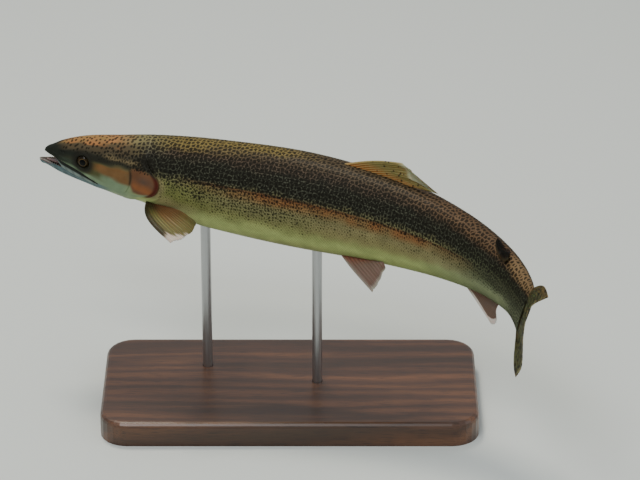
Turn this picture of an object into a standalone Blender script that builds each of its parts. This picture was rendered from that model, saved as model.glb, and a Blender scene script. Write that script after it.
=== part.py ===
"""Rainbow trout, life size, bending its tail to its left, held on a plain stand.

The fish is shaped straight, in fish space: s runs from the tip of the snout to the tail, l is
across the body with the left side positive, and z is up. All three are shares of the fork
length. Each piece is cut and fitted there, and then bend() carries its points to the pose.
"""
import math

import bmesh
import bpy
import numpy as np
from mathutils import Matrix, Vector

# sizes in metres
FORK_LENGTH = 0.50
GAP = 0.0003                      # room left between pieces that meet
SLIVER = 0.00004                  # a cut's points closer than this are one
BASE_SIZE = (0.300, 0.140, 0.020)
BASE_CORNER = 0.022
BASE_EDGE = 0.004
ROD_RADIUS = 0.004
ROD_SINK = 0.012                  # how deep a rod goes into the base
SNOUT_AT = (-0.195, 0.062, 0.197)

# the pose, in degrees
HEAD_TURN = 15.9                  # heading of the stiff front half, off the X axis
TAIL_TURN = 89.2                  # heading where the tail fin starts
BEND_FROM, BEND_POWER = 0.377, 1.76
TWIST_FROM, TAIL_TWIST = 0.72, 13.0
PITCH = 4.0                       # head up

# body form, as shares of the fork length
TAIL_END = 0.93
STATIONS = (0.0, 0.010, 0.030, 0.070, 0.120, 0.190, 0.280, 0.420, 0.560, 0.700, 0.820, 0.890, 0.930)
BACK = (0.0045, 0.0088, 0.0205, 0.0350, 0.0450, 0.0580, 0.0680, 0.0755, 0.0690, 0.0550, 0.0425, 0.0370, 0.0385)
BELLY = (0.0115, 0.0142, 0.0232, 0.0358, 0.0506, 0.0588, 0.0790, 0.0840, 0.0770, 0.0630, 0.0460, 0.0370, 0.0385)
BREADTH = (0.0040, 0.0088, 0.0165, 0.0280, 0.0370, 0.0460, 0.0530, 0.0560, 0.0510, 0.0380, 0.0240, 0.0170, 0.0120)
HEAD_FULLNESS, BODY_FULLNESS = 0.86, 0.97      # below 1 squares the lower half of a section
CUTS = (0.208, 0.46, 0.72)        # head, front trunk, rear trunk, tail
BODY_SIDES = 26

# mouth, a closed head's jaw turned open about its joint
LIP_START, LIP_SLOPE, LIP_CURVE = -0.0028, 0.10, 2.00  # height of the lips at the snout, and their fall
CORNER_AT = 0.088
LIP_POWER = 1.6
JAW_AHEAD = -0.006                # the lower jaw's tip, ahead of the snout
JAW_JOINT = (0.125, -0.030)
GAPE = 6.5
THROAT = (0.100, -0.0285)
HEAD_SIDES, HEAD_RINGS = 36, 15

# eyes, gill covers and jaw bones
EYE_AT = (0.0710, 0.0193, 0.0020)
EYE_RADIUS = 0.0120
COVER_AT = (0.163, -0.005)
COVER_REAR, COVER_FRONT, COVER_UP, COVER_DOWN = 0.042, 0.013, 0.032, 0.040
COVER_THICK = 0.009


def along(values, s):
    """Reads a smooth profile that never overshoots its stations."""
    x, y = np.array(STATIONS), np.array(values)
    s = min(max(s, x[0]), x[-1])
    step = np.diff(x)
    slope = np.diff(y) / step
    tangent = np.zeros(len(x))
    for i in range(1, len(x) - 1):
        if slope[i - 1] * slope[i] > 0:
            tangent[i] = 2 / (1 / slope[i - 1] + 1 / slope[i])
    tangent[0], tangent[-1] = slope[0], slope[-1]
    i = min(max(int(np.searchsorted(x, s)) - 1, 0), len(step) - 1)
    t = (s - x[i]) / step[i]
    return ((2 * t ** 3 - 3 * t ** 2 + 1) * y[i] + (t ** 3 - 2 * t ** 2 + t) * step[i] * tangent[i]
            + (3 * t ** 2 - 2 * t ** 3) * y[i + 1] + (t ** 3 - t ** 2) * step[i] * tangent[i + 1])


def ease(t):
    t = min(max(t, 0.0), 1.0)
    return t * t * (3 - 2 * t)


def mix(a, b, t):
    return a + (b - a) * t


def fish(s, l, z):
    """A point of fish space in metres: the fish lies along +X with its left side at -Y."""
    return Vector((s * FORK_LENGTH, -l * FORK_LENGTH, z * FORK_LENGTH))


def surface(s, angle, grow=0.0):
    """Body surface at a station: angle 0 is the left flank, 90 the back, -90 the belly."""
    half = along(BREADTH, s) + grow
    if angle % 360 < 180:
        power, depth = 1.0, along(BACK, s) + grow
    else:
        power = mix(HEAD_FULLNESS, BODY_FULLNESS, ease(s / 0.3))
        depth = along(BELLY, s) + grow
    c, n = math.cos(math.radians(angle)), math.sin(math.radians(angle))
    l = half * math.copysign(abs(c) ** power, c)
    z = depth * math.copysign(abs(n) ** power, n)
    return l, z


# ---- pose ---------------------------------------------------------------------------------

def heading(s):
    t = min(max((s - BEND_FROM) / (TAIL_END - BEND_FROM), 0.0), 1.0)
    return math.radians(HEAD_TURN + (TAIL_TURN - HEAD_TURN) * t ** BEND_POWER)


SPINE_STEP = 0.0025
SPINE_FROM = -0.05
SPINE = [(0.0, 0.0)]
for number in range(460):
    turn = heading(SPINE_FROM + (number + 0.5) * SPINE_STEP)
    SPINE.append((SPINE[-1][0] + math.cos(turn) * SPINE_STEP, SPINE[-1][1] - math.sin(turn) * SPINE_STEP))


def spine(s):
    place = (s - SPINE_FROM) / SPINE_STEP
    first = int(place)
    a, b = SPINE[first], SPINE[first + 1]
    return mix(a[0], b[0], place - first), mix(a[1], b[1], place - first)


SPINE_ORIGIN = spine(0.0)


def bend(point):
    """Carries a point from fish space to its place in the posed fish."""
    s, l, z = point[0] / FORK_LENGTH, -point[1] / FORK_LENGTH, point[2] / FORK_LENGTH
    twist = math.radians(TAIL_TWIST) * ease((s - TWIST_FROM) / (TAIL_END - TWIST_FROM))
    l, z = l * math.cos(twist) - z * math.sin(twist), z * math.cos(twist) + l * math.sin(twist)
    turn = heading(s)
    x = spine(s)[0] - SPINE_ORIGIN[0] - l * math.sin(turn)
    y = spine(s)[1] - SPINE_ORIGIN[1] - l * math.cos(turn)
    up = math.radians(PITCH)
    posed = Vector((x * math.cos(up) + z * math.sin(up), y, z * math.cos(up) - x * math.sin(up)))
    return posed * FORK_LENGTH + Vector(SNOUT_AT)


# ---- making ---------------------------------------------------------------------------------

def finish(name, colour, roughness, metallic=0.0):
    material = bpy.data.materials.new(name + "_finish")
    material.use_nodes = True
    shader = material.node_tree.nodes["Principled BSDF"]
    shader.inputs["Base Color"].default_value = (*colour, 1.0)
    shader.inputs["Roughness"].default_value = roughness
    shader.inputs["Metallic"].default_value = metallic
    return material


def piece(name, bm, look=None):
    """An object from a bmesh, faces out. look is (colour, roughness, metallic)."""
    bmesh.ops.recalc_face_normals(bm, faces=bm.faces)
    mesh = bpy.data.meshes.new(name)
    bm.to_mesh(mesh)
    bm.free()
    obj = bpy.data.objects.new(name, mesh)
    bpy.context.scene.collection.objects.link(obj)
    if look:
        mesh.materials.append(finish(name, *look))
    return obj


def next_ring(bm, ring, points):
    """Extrudes a closed ring and puts its new points where they belong."""
    edges = [bm.edges.get((ring[i - 1], ring[i])) for i in range(len(ring))]
    grown = bmesh.ops.extrude_edge_only(bm, edges=edges)["geom"]
    fresh = {part for part in grown if isinstance(part, bmesh.types.BMVert)}
    new = []
    for old in ring:
        new.append(next(e.other_vert(old) for e in old.link_edges if e.other_vert(old) in fresh))
    for vert, point in zip(new, points):
        vert.co = point
    return new


def loft(rings, flat_ends=True):
    """A closed skin through rings of points. Thin pieces close in pairs across the ring."""
    bm = bmesh.new()
    first = [vert for vert in bmesh.ops.create_circle(bm, segments=len(rings[0]), radius=1.0)["verts"]]
    for vert, point in zip(first, rings[0]):
        vert.co = point
    last = first
    for points in rings[1:]:
        last = next_ring(bm, last, points)
    for ring in (first, last):
        if flat_ends:
            bm.faces.new(ring)
            continue
        count = len(ring)
        for i in range(count // 2 - 1):
            bm.faces.new((ring[i], ring[i + 1], ring[count - 2 - i], ring[count - 1 - i]))
    return bm


def carve(obj, cutter, operation="DIFFERENCE"):
    """Cuts a piece with another and keeps the result as the piece's own mesh."""
    step = obj.modifiers.new("cut", "BOOLEAN")
    step.object, step.operation, step.solver = cutter, operation, "EXACT"
    graph = bpy.context.evaluated_depsgraph_get()
    cut = bpy.data.meshes.new_from_object(obj.evaluated_get(graph))
    obj.modifiers.clear()
    bm = bmesh.new()
    bm.from_mesh(cut)
    bmesh.ops.remove_doubles(bm, verts=bm.verts, dist=SLIVER)
    bmesh.ops.dissolve_degenerate(bm, edges=bm.edges, dist=SLIVER)
    bm.to_mesh(cut)
    bm.free()
    obj.data = cut
    bpy.data.objects.remove(cutter)
    return obj


def copy_of(obj, name, look):
    twin = bpy.data.objects.new(name, obj.data.copy())
    bpy.context.scene.collection.objects.link(twin)
    twin.data.materials.clear()
    twin.data.materials.append(finish(name, *look))
    return twin


def posed(obj):
    for vert in obj.data.vertices:
        vert.co = bend(vert.co)
    obj.data.shade_smooth()
    obj.data.set_sharp_from_angle(angle=math.radians(40))
    return obj


def prism(name, outline, inner, outer):
    """A side outline of (s, z) points carried across the fish from l = inner to l = outer."""
    rings = [[fish(s, l, z) for s, z in outline] for l in (inner, outer)]
    return piece(name, loft(rings))


# ---- body -----------------------------------------------------------------------------------

def body_length(name, start, end, count, look=None, grow=0.0):
    rings = []
    for i in range(count + 1):
        s = mix(start, end, i / count)
        around = [surface(s, 360 * k / BODY_SIDES, grow) for k in range(BODY_SIDES)]
        rings.append([fish(s, l, z) for l, z in around])
    return piece(name, loft(rings), look)


def lip_height(s):
    return LIP_START - LIP_SLOPE * s - LIP_CURVE * s * s


def lip_angle(s):
    """Where the lips lie round the closed head's section."""
    share = min(-lip_height(s) / along(BELLY, s), 0.999)
    power = mix(HEAD_FULLNESS, BODY_FULLNESS, ease(s / 0.3))
    return -math.degrees(math.asin(share ** (1 / power)))


def open_jaw(s, l, z, share):
    """Turns a point of the closed lower jaw down about the joint by a share of the gape."""
    turn = math.radians(GAPE) * share * ease((JAW_JOINT[0] - s) / 0.035)
    ds, dz = s - JAW_JOINT[0], z - JAW_JOINT[1]
    return (JAW_JOINT[0] + ds * math.cos(turn) - dz * math.sin(turn), l,
            JAW_JOINT[1] + dz * math.cos(turn) + ds * math.sin(turn))


def head_point(angle, t, neck):
    """Outer skin of the head along one line, from the neck (t = 0) to the lips (t = 1)."""
    left = math.cos(math.radians(angle)) >= 0
    side = angle if left else 180 - angle if angle > 0 else -180 - angle
    corner = lip_angle(CORNER_AT)
    upper = side >= corner
    k = (90 - side) / (90 - corner) if upper else (side + 90) / (corner + 90)
    tip = 0.0 if upper else JAW_AHEAD
    lip_at = tip + (CORNER_AT - tip) * k ** LIP_POWER
    s = mix(neck, lip_at, t)
    if s < CORNER_AT:
        share = max((s - tip) / (CORNER_AT - tip), 0.0) ** (1 / LIP_POWER)
        pole = 90 if upper else -90
        edge_from = mix(pole, corner, share)
        place = (side - pole) / (edge_from - pole) if abs(edge_from - pole) > 1e-6 else 1.0
        side = mix(pole, lip_angle(max(s, 0.0)), min(place, 1.0))
    shift = 0.0 if upper else s - max(s, 0.002)
    l, z = surface(max(s, 0.002), side)
    if not upper:
        s, l, z = open_jaw(s, l, z, ease((1 - k) / 0.28)) if shift == 0 else \
            open_jaw(s, l * 0.9, z, ease((1 - k) / 0.28))
    return s, (l if left else -l), z


def whole_head(name):
    """The head as one closed form with its open mouth, before it is parted."""
    neck = CUTS[0] - GAP / 2 / FORK_LENGTH
    angles = [-90 + 360 * k / HEAD_SIDES for k in range(HEAD_SIDES)]
    angles = [a - 360 if a > 180 else a for a in angles]
    rings = []
    for i in range(HEAD_RINGS + 1):
        t = (i / HEAD_RINGS) ** 0.8
        rings.append([fish(*head_point(a, t, neck)) for a in angles])
    lips = rings[-1]
    throat = fish(THROAT[0], 0.0, THROAT[1])
    for share in (0.08, 0.35, 0.62, 0.86):
        rings.append([lip.lerp(throat, share) for lip in lips])
    return piece(name, loft(rings))


def cover_outline(grow):
    points = []
    for i in range(20):
        turn = 2 * math.pi * i / 20
        c, n = math.cos(turn), math.sin(turn)
        points.append((COVER_AT[0] + c * ((COVER_REAR if c > 0 else COVER_FRONT) + grow),
                       COVER_AT[1] + n * ((COVER_UP if n > 0 else COVER_DOWN) + grow)))
    return points


def jaw_outline(grow):
    """Side outline of the block that holds the lower jaw, with its upper edge in the gape."""
    return [(-0.040, -0.0100 + grow), (0.018, -0.0132 + grow), (0.050, -0.0190 + grow),
            (0.075, -0.0226 + grow), (0.088, -0.0272 + grow), (0.118 + grow, -0.0380 + grow),
            (0.128 + grow, -0.0560), (0.128 + grow, -0.090), (-0.04, -0.090)]


def ball(name, at, radius, look=None):
    bm = bmesh.new()
    bmesh.ops.create_uvsphere(bm, u_segments=14, v_segments=9, radius=radius * FORK_LENGTH)
    bmesh.ops.rotate(bm, verts=bm.verts, matrix=Matrix.Rotation(math.radians(90), 3, "X"))
    bmesh.ops.translate(bm, verts=bm.verts, vec=fish(*at))
    return piece(name, bm, look)


def head_pieces():
    gap = GAP / FORK_LENGTH
    head_look = ((0.24, 0.16, 0.06), 0.35)
    cover_look = ((0.42, 0.18, 0.07), 0.35)
    whole = whole_head("whole")
    head = copy_of(whole, "head", head_look)
    jaw = copy_of(whole, "lower_jaw", ((0.60, 0.58, 0.52), 0.35))
    carve(jaw, prism("jaw_block", jaw_outline(-gap / 2), -0.09, 0.09), "INTERSECT")
    carve(head, prism("jaw_block", jaw_outline(gap / 2), -0.09, 0.09))
    made = [head, jaw]
    for side, hand in ((1, "left"), (-1, "right")):
        cover = copy_of(whole, "gill_cover_" + hand, cover_look)
        inner = body_length("core", 0.12, 0.235, 4, grow=gap - COVER_THICK)
        carve(cover, prism("outline", cover_outline(-gap), 0.004 * side, 0.09 * side), "INTERSECT")
        carve(cover, inner)
        recess = prism("recess", cover_outline(0.0), 0.004 * side, 0.09 * side)
        carve(recess, body_length("core", 0.12, 0.235, 4, grow=-COVER_THICK))
        carve(head, recess)
        place = (EYE_AT[0], EYE_AT[1] * side, EYE_AT[2])
        carve(head, ball("socket", place, EYE_RADIUS + gap))
        for obj in (head, jaw):
            carve(obj, maxilla("recess", side, grow=gap))
        made += [cover, ball("eye_" + hand, place, EYE_RADIUS, ((0.02, 0.018, 0.012), 0.08)),
                 maxilla("maxilla_" + hand, side, ((0.34, 0.30, 0.22), 0.35))]
    bpy.data.objects.remove(whole)
    return made + [tongue()]


def maxilla(name, side, look=None, grow=0.0):
    """The long jaw bone that lies on the upper lip and reaches past the mouth's corner."""
    rings = []
    count = 12
    for i in range(count + 1):
        s = mix(0.030 - grow, 0.099 + grow, i / count)
        swell = math.sin(math.pi * mix(0.12, 0.9, i / count)) ** 0.7
        height = 0.0052 * swell * mix(0.7, 1.15, i / count)
        middle = lip_height(s) + 0.0020 + 0.0005 * math.sin(math.pi * i / count)
        ring = []
        for rise, out in ((-1, -0.0012), (-0.9, 0.0016), (0, 0.0024), (0.9, 0.0016), (1, -0.0012), (0, -0.0012)):
            z = middle + rise * (height + grow)
            out += math.copysign(grow, out)
            share = min(abs(z) / along(BELLY, s), 0.99)
            power = mix(HEAD_FULLNESS, BODY_FULLNESS, ease(s / 0.3))
            angle = math.asin(share ** (1 / power))
            half = along(BREADTH, s) * math.cos(angle) ** power
            ring.append(fish(s, side * (half + out), z))
        rings.append(ring)
    return piece(name, loft(rings), look)


def tongue():
    rings = []
    for i in range(9):
        t = i / 8
        s = mix(0.004, 0.062, t)
        half = 0.0068 * math.sin(math.pi * mix(0.10, 0.62, t)) ** 0.8
        floor = mix(-0.0168, -0.0224, t)
        ring = [(half * math.cos(a), floor + 0.0030 * max(math.sin(a), 0.0))
                for a in (math.pi * k / 6 for k in range(7))]
        rings.append([fish(s, l, z) for l, z in ring])
    return piece("tongue", loft(rings), ((0.62, 0.42, 0.36), 0.4))


# ---- fins -----------------------------------------------------------------------------------

def blade(name, root, edge, steps, thickness, across, look, drift=None):
    """A thin fin between its root line and its free edge, both read from 0 to 1 along it.
    across is the way through the fin. thickness is at the root and at the edge."""
    along_count, out_count = steps
    rings = []
    for j in range(out_count + 1):
        v = j / out_count
        near, far = [], []
        for i in range(along_count + 1):
            u = i / along_count
            a, b = Vector(root(u)), Vector(edge(u))
            middle = a.lerp(b, v)
            if drift:
                middle += Vector(drift(u, v))
            rim = min(1.0, 0.8 + 2 * min(u, 1 - u)) if j else 1.0
            half = mix(thickness[0], thickness[1], v ** 0.7) / 2 * rim
            near.append(fish(*(middle + Vector(across) * half)))
            far.append(fish(*(middle - Vector(across) * half)))
        rings.append(near + far[::-1])
    return piece(name, loft(rings, flat_ends=False), look)


def curve_through(points, u):
    """A smooth line through a few points, read from 0 to 1."""
    place = u * (len(points) - 1)
    i = min(int(place), len(points) - 2)
    t = place - i
    p = [Vector(points[max(k, 0) if k < len(points) else -1]) for k in (i - 1, i, i + 1, i + 2)]
    return 0.5 * (2 * p[1] + (p[2] - p[0]) * t + (2 * p[0] - 5 * p[1] + 4 * p[2] - p[3]) * t ** 2
                  + (3 * p[1] - p[0] - 3 * p[2] + p[3]) * t ** 3)


def back_line(s):
    return along(BACK, s) + 1.3 * GAP / FORK_LENGTH


def belly_line(s):
    return -along(BELLY, s) - 1.3 * GAP / FORK_LENGTH


def dorsal_fin():
    start, end = 0.490, 0.602
    free = [(0.588, 0, 0.0995), (0.603, 0, 0.0915), (0.608, 0, 0.0790), (0.630, 0, 0.0730), (0.657, 0, 0.0690)]

    def root(u):
        s = mix(start, end, u)
        return s, 0.0, back_line(s)

    def ripple(u, v):
        return 0.0, 0.0022 * v ** 2 * math.sin(5.0 * math.pi * u), 0.004 * math.sin(math.pi * v) * (1 - u)

    return blade("dorsal_fin", root, lambda u: curve_through(free, u), (14, 6), (0.0060, 0.0013),
                 (0, 1, 0), ((0.36, 0.22, 0.10), 0.4), ripple)


def adipose_fin():
    free = [(0.832, 0, 0.0500), (0.844, 0, 0.0560), (0.851, 0, 0.0540), (0.848, 0, 0.0470), (0.838, 0, 0.0445)]

    def root(u):
        s = mix(0.796, 0.824, u)
        return s, 0.0, back_line(s)

    return blade("adipose_fin", root, lambda u: curve_through(free, u), (8, 5), (0.0050, 0.0022),
                 (0, 1, 0), ((0.22, 0.14, 0.06), 0.4))


def anal_fin():
    free = [(0.795, 0, -0.0925), (0.806, 0, -0.0905), (0.812, 0, -0.0790), (0.820, 0, -0.0680), (0.834, 0, -0.0600)]

    def root(u):
        s = mix(0.728, 0.802, u)
        return s, 0.0, belly_line(s)

    def ripple(u, v):
        return 0.0, 0.0016 * v ** 2 * math.sin(3.5 * math.pi * u), 0.0

    return blade("anal_fin", root, lambda u: curve_through(free, u), (10, 5), (0.0055, 0.0013),
                 (0, 1, 0), ((0.40, 0.26, 0.18), 0.4), ripple)


def caudal_fin():
    """The forked tail fin, which opens like a fan from the end of the body."""
    start = TAIL_END + GAP / FORK_LENGTH
    free = [(1.0120, 0, -0.0665), (1.0030, 0, -0.0440), (0.9820, 0, -0.0160), (0.9760, 0, 0.0020),
            (0.9860, 0, 0.0220), (1.0060, 0, 0.0520), (1.0140, 0, 0.0790)]
    height = along(BACK, TAIL_END) * 0.97

    def fan(u, v):
        side = 2 * u - 1
        flare = 0.008 * math.sin(math.pi * v) * side * abs(side)
        return 0.0, 0.0020 * v * math.sin(2.6 * math.pi * u), flare

    def root(u):
        return start, 0.0, mix(-height, height, u)

    rings = []
    for j in range(8):
        v = j / 7
        near, far = [], []
        for i in range(21):
            u = i / 20
            middle = Vector(root(u)).lerp(curve_through(free, u), v) + Vector(fan(u, v))
            side = abs(2 * u - 1)
            at_root = along(BREADTH, TAIL_END) * math.sqrt(max(1 - (side * 0.985) ** 2, 0)) * 0.94
            half = mix(at_root, 0.0009 * mix(1, 1.5, side), ease(v * 1.5) ** 0.5)
            near.append(fish(middle.x, middle.y + half, middle.z))
            far.append(fish(middle.x, middle.y - half, middle.z))
        rings.append(near + far[::-1])
    return piece("caudal_fin", loft(rings, flat_ends=False), ((0.16, 0.14, 0.08), 0.4))


def paired_fin(name, side, base, angles, lengths, sweeps, dip, bow, thickness, look):
    """A fin fanned from a short root on the flank. base is its two stations and angles its two
    places round the body; lengths, sweeps and dip shape its first and last rays."""
    away = GAP * 1.3 / FORK_LENGTH
    rings = []
    for j in range(7):
        v = j / 6
        near, far = [], []
        for i in range(10):
            u = i / 9
            s, angle = mix(*base, u), mix(*angles, u)
            root_l, root_z = surface(s, angle, away)
            sweep = math.radians(mix(*sweeps, u))
            fall = math.radians(mix(*dip, u))
            reach = mix(*lengths, u ** 0.9) * (1 + 0.10 * math.sin(math.pi * u))
            out = Vector((math.sin(sweep), math.cos(sweep) * math.cos(fall), -math.cos(sweep) * math.sin(fall)))
            up = Vector((0, math.sin(fall), math.cos(fall)))
            middle = Vector((s, root_l, root_z)) + out * reach * v
            middle += Vector((-1, 0, 0)) * bow * math.sin(math.pi * v) * (1 - u) ** 1.5
            middle += up * (0.006 * math.sin(math.pi * v) * (0.3 + u) + 0.0012 * v * math.sin(6 * math.pi * u))
            half = mix(thickness[0], thickness[1], v ** 0.6) / 2
            if j == 0:
                spread = math.degrees(half / max(root_l, 0.02)) * 1.2
                tops = [Vector((s, *surface(s, angle + turn, away))) for turn in (spread, -spread)]
            else:
                rim = min(1.0, 0.8 + 2 * min(u, 1 - u))
                tops = [middle + up * half * rim, middle - up * half * rim]
            near.append(fish(tops[0].x, side * tops[0].y, tops[0].z))
            far.append(fish(tops[1].x, side * tops[1].y, tops[1].z))
        rings.append(near + far[::-1])
    return piece(name, loft(rings, flat_ends=False), look)


def all_fins():
    made = [dorsal_fin(), adipose_fin(), anal_fin(), caudal_fin()]
    for side, hand in ((1, "left"), (-1, "right")):
        made.append(paired_fin("pectoral_fin_" + hand, side, (0.182, 0.212), (-50, -45), (0.105, 0.066),
                               (40, 70), (17, 12), 0.018, (0.0060, 0.0016), ((0.26, 0.19, 0.09), 0.4)))
        made.append(paired_fin("pelvic_fin_" + hand, side, (0.508, 0.546), (-64, -62), (0.090, 0.048),
                               (53, 66), (35, 21), 0.0065, (0.0060, 0.0018), ((0.42, 0.30, 0.22), 0.4)))
    return made


# ---- stand ----------------------------------------------------------------------------------

def round_bar(name, at, radius, low, high, look=None):
    bm = bmesh.new()
    bmesh.ops.create_cone(bm, cap_ends=True, segments=20, radius1=radius, radius2=radius, depth=high - low)
    bmesh.ops.translate(bm, verts=bm.verts, vec=(at[0], at[1], (low + high) / 2))
    return piece(name, bm, look)


def stand():
    wood, steel = ((0.085, 0.042, 0.022), 0.35), ((0.62, 0.62, 0.60), 0.3, 1.0)
    bm = bmesh.new()
    bmesh.ops.create_cube(bm, size=1.0)
    bmesh.ops.scale(bm, verts=bm.verts, vec=BASE_SIZE)
    bmesh.ops.translate(bm, verts=bm.verts, vec=(0, 0, BASE_SIZE[2] / 2))
    upright = [e for e in bm.edges if abs(e.verts[0].co.z - e.verts[1].co.z) > 0.001]
    bmesh.ops.bevel(bm, geom=upright, offset=BASE_CORNER, segments=6, affect="EDGES", profile=0.5, material=-1)
    top = [e for e in bm.edges if min(v.co.z for v in e.verts) > BASE_SIZE[2] - 1e-5]
    bmesh.ops.bevel(bm, geom=top, offset=BASE_EDGE, segments=3, affect="EDGES", profile=0.5, material=-1)
    base = piece("stand_base", bm, wood)
    made = [base]
    for station, place in ((0.270, "front"), (0.455, "rear")):
        at = bend(fish(station, 0.0, -0.04))
        bottom = BASE_SIZE[2] - ROD_SINK
        rod = round_bar("stand_rod_" + place, at, ROD_RADIUS, bottom, at.z, steel)
        carve(rod, posed(body_length("belly", 0.215, 0.52, 30, grow=GAP / FORK_LENGTH)))
        carve(base, round_bar("hole", at, ROD_RADIUS + GAP, bottom - GAP, BASE_SIZE[2] + 0.01))
        made.append(rod)
    for obj in made:
        obj.data.shade_smooth()
        obj.data.set_sharp_from_angle(angle=math.radians(35))
    return made


def main():
    for obj in list(bpy.data.objects):
        bpy.data.objects.remove(obj)
    half = GAP / 2 / FORK_LENGTH
    back_look = ((0.15, 0.13, 0.06), 0.35)
    flesh = [body_length("trunk_front", CUTS[0] + half, CUTS[1] - half, 12, back_look),
             body_length("trunk_rear", CUTS[1] + half, CUTS[2] - half, 16, back_look),
             body_length("tail", CUTS[2] + half, TAIL_END, 14, back_look)]
    for obj in flesh + head_pieces() + all_fins():
        posed(obj)
    stand()


main()
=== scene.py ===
import bpy, bmesh, math
import numpy as np
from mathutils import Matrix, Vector


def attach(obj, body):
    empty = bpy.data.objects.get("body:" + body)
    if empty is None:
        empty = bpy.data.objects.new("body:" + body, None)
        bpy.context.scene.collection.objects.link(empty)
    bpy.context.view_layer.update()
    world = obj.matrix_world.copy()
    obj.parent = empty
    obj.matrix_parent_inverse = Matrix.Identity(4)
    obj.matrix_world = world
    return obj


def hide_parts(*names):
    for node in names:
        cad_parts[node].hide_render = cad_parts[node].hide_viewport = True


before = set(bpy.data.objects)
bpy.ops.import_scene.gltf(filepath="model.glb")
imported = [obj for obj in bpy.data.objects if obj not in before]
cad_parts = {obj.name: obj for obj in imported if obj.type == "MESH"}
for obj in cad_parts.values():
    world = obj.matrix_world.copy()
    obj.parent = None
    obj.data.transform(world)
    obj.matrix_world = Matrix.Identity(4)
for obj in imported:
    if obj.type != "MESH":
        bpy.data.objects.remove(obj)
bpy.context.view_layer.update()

from types import SimpleNamespace

# The fish is shaped straight and then bent. In fish space a point is (s, l, z): s runs from the
# snout's tip to the tail, l is across with the left side positive, z is up, and all three are
# shares of the fork length. The angles round the body are 90 on the back and -90 on the belly.

forkLength = 0.50
spineRows = 1200

pose = {
    "snoutAt": (-0.195, 0.062, 0.197),   # metres, over the middle of the stand's underside
    "headTurn": 15.9, "tailTurn": 89.2,  # heading of the front half and of the tail fin
    "bendFrom": 0.377, "bendPower": 1.76,
    "twistFrom": 0.72, "tailTwist": 13.0,
    "pitch": 4.0,
}
form = {
    "stations": (0, .010, .030, .070, .120, .190, .280, .420, .560, .700, .820, .890, .930),
    "back": (.0045, .0088, .0205, .0350, .0450, .0580, .0680, .0755, .0690, .0550, .0425, .0370, .0385),
    "belly": (.0115, .0142, .0232, .0358, .0506, .0588, .0790, .0840, .0770, .0630, .0460, .0370, .0385),
    "breadth": (.0040, .0088, .0165, .0280, .0370, .0460, .0530, .0560, .0510, .0380, .0240, .0150, .0052),
    "tailEnd": 0.93,
    "headFullness": 0.86, "bodyFullness": 0.97, "fullFrom": 0.3,   # of the belly's section
}
mouth = {
    "lipStart": -0.0028, "lipSlope": 0.10, "lipCurve": 2.0, "lipPower": 1.6,
    "corner": 0.088, "jawAhead": -0.006, "joint": (0.125, -0.030), "gape": 6.5,
    "throat": (0.104, 0.0, -0.0292),
}


def mix(a, b, t):
    return a + (b - a) * t


def ease(t):
    t = np.clip(t, 0.0, 1.0)
    return t * t * (3 - 2 * t)


def bell(x, width):
    return np.exp(-(x / width) ** 2)


def band(x, low, high, soft):
    # 1 between low and high, falling to 0 over soft on both sides
    return ease((x - low) / soft + 0.5) * ease((high - x) / soft + 0.5)


def ramp(x, zero, one):
    # rises softly from 0 at one place to 1 at the other, whichever of them is the greater
    return ease((x - zero) / (one - zero))


def arch(t):
    # from 0 up to 1 in the middle and down again
    return np.sin(math.pi * t)


def turned(a, b, angle):
    # the place (a, b) turned about zero, by radians
    return a * np.cos(angle) - b * np.sin(angle), b * np.cos(angle) + a * np.sin(angle)


def stack(*parts):
    # numbers that belong together, side by side
    return np.stack(np.broadcast_arrays(*parts), -1)


def field(x, ramps):
    # 1 where every ramp has risen
    amount = 1.0
    for zero, one in ramps:
        amount = amount * ramp(x, zero, one)
    return amount


def smoothLine(xs, ys, at):
    # a line through points that never overshoots them
    x, y = np.array(xs, float), np.array(ys, float)
    at = np.clip(at, x[0], x[-1])
    gap = np.diff(x)
    slope = np.diff(y) / gap
    tangent = np.zeros(len(x))
    same = slope[:-1] * slope[1:] > 0
    tangent[1:-1][same] = 2 / (1 / slope[:-1][same] + 1 / slope[1:][same])
    tangent[0], tangent[-1] = slope[0], slope[-1]
    i = np.clip(np.searchsorted(x, at) - 1, 0, len(gap) - 1)
    t = (at - x[i]) / gap[i]
    bend = gap[i] * (t * (1 - t) ** 2 * tangent[i] - t * t * (1 - t) * tangent[i + 1])
    return mix(y[i], y[i + 1], t * t * (3 - 2 * t)) + bend


def profile(name, s):
    return smoothLine(form["stations"], form[name], s)


def fullness(s):
    return mix(form["headFullness"], form["bodyFullness"], ramp(s, 0.0, form["fullFrom"]))


def surface(s, angle, grow=0.0):
    # across and height of the body's surface at a station and an angle in degrees
    s, angle = np.broadcast_arrays(np.asarray(s, float), np.asarray(angle, float))
    c, n = np.cos(np.radians(angle)), np.sin(np.radians(angle))
    power = np.where(n >= 0, 1.0, fullness(s))
    depth = np.where(n >= 0, profile("back", s), profile("belly", s)) + grow
    l = (profile("breadth", s) + grow) * np.sign(c) * np.abs(c) ** power
    return l, depth * np.sign(n) * np.abs(n) ** power


def heading(s):
    t = np.clip((s - pose["bendFrom"]) / (form["tailEnd"] - pose["bendFrom"]), 0, 1)
    return np.radians(mix(pose["headTurn"], pose["tailTurn"], t ** pose["bendPower"]))


spineAt = np.linspace(-0.06, 1.10, spineRows)
spineTurn = heading((spineAt[1:] + spineAt[:-1]) / 2)
spineStep = spineAt[1] - spineAt[0]
spineX = np.concatenate([[0], np.cumsum(np.cos(spineTurn))]) * spineStep
spineY = np.concatenate([[0], np.cumsum(-np.sin(spineTurn))]) * spineStep
spineX -= np.interp(0, spineAt, spineX)
spineY -= np.interp(0, spineAt, spineY)


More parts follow.
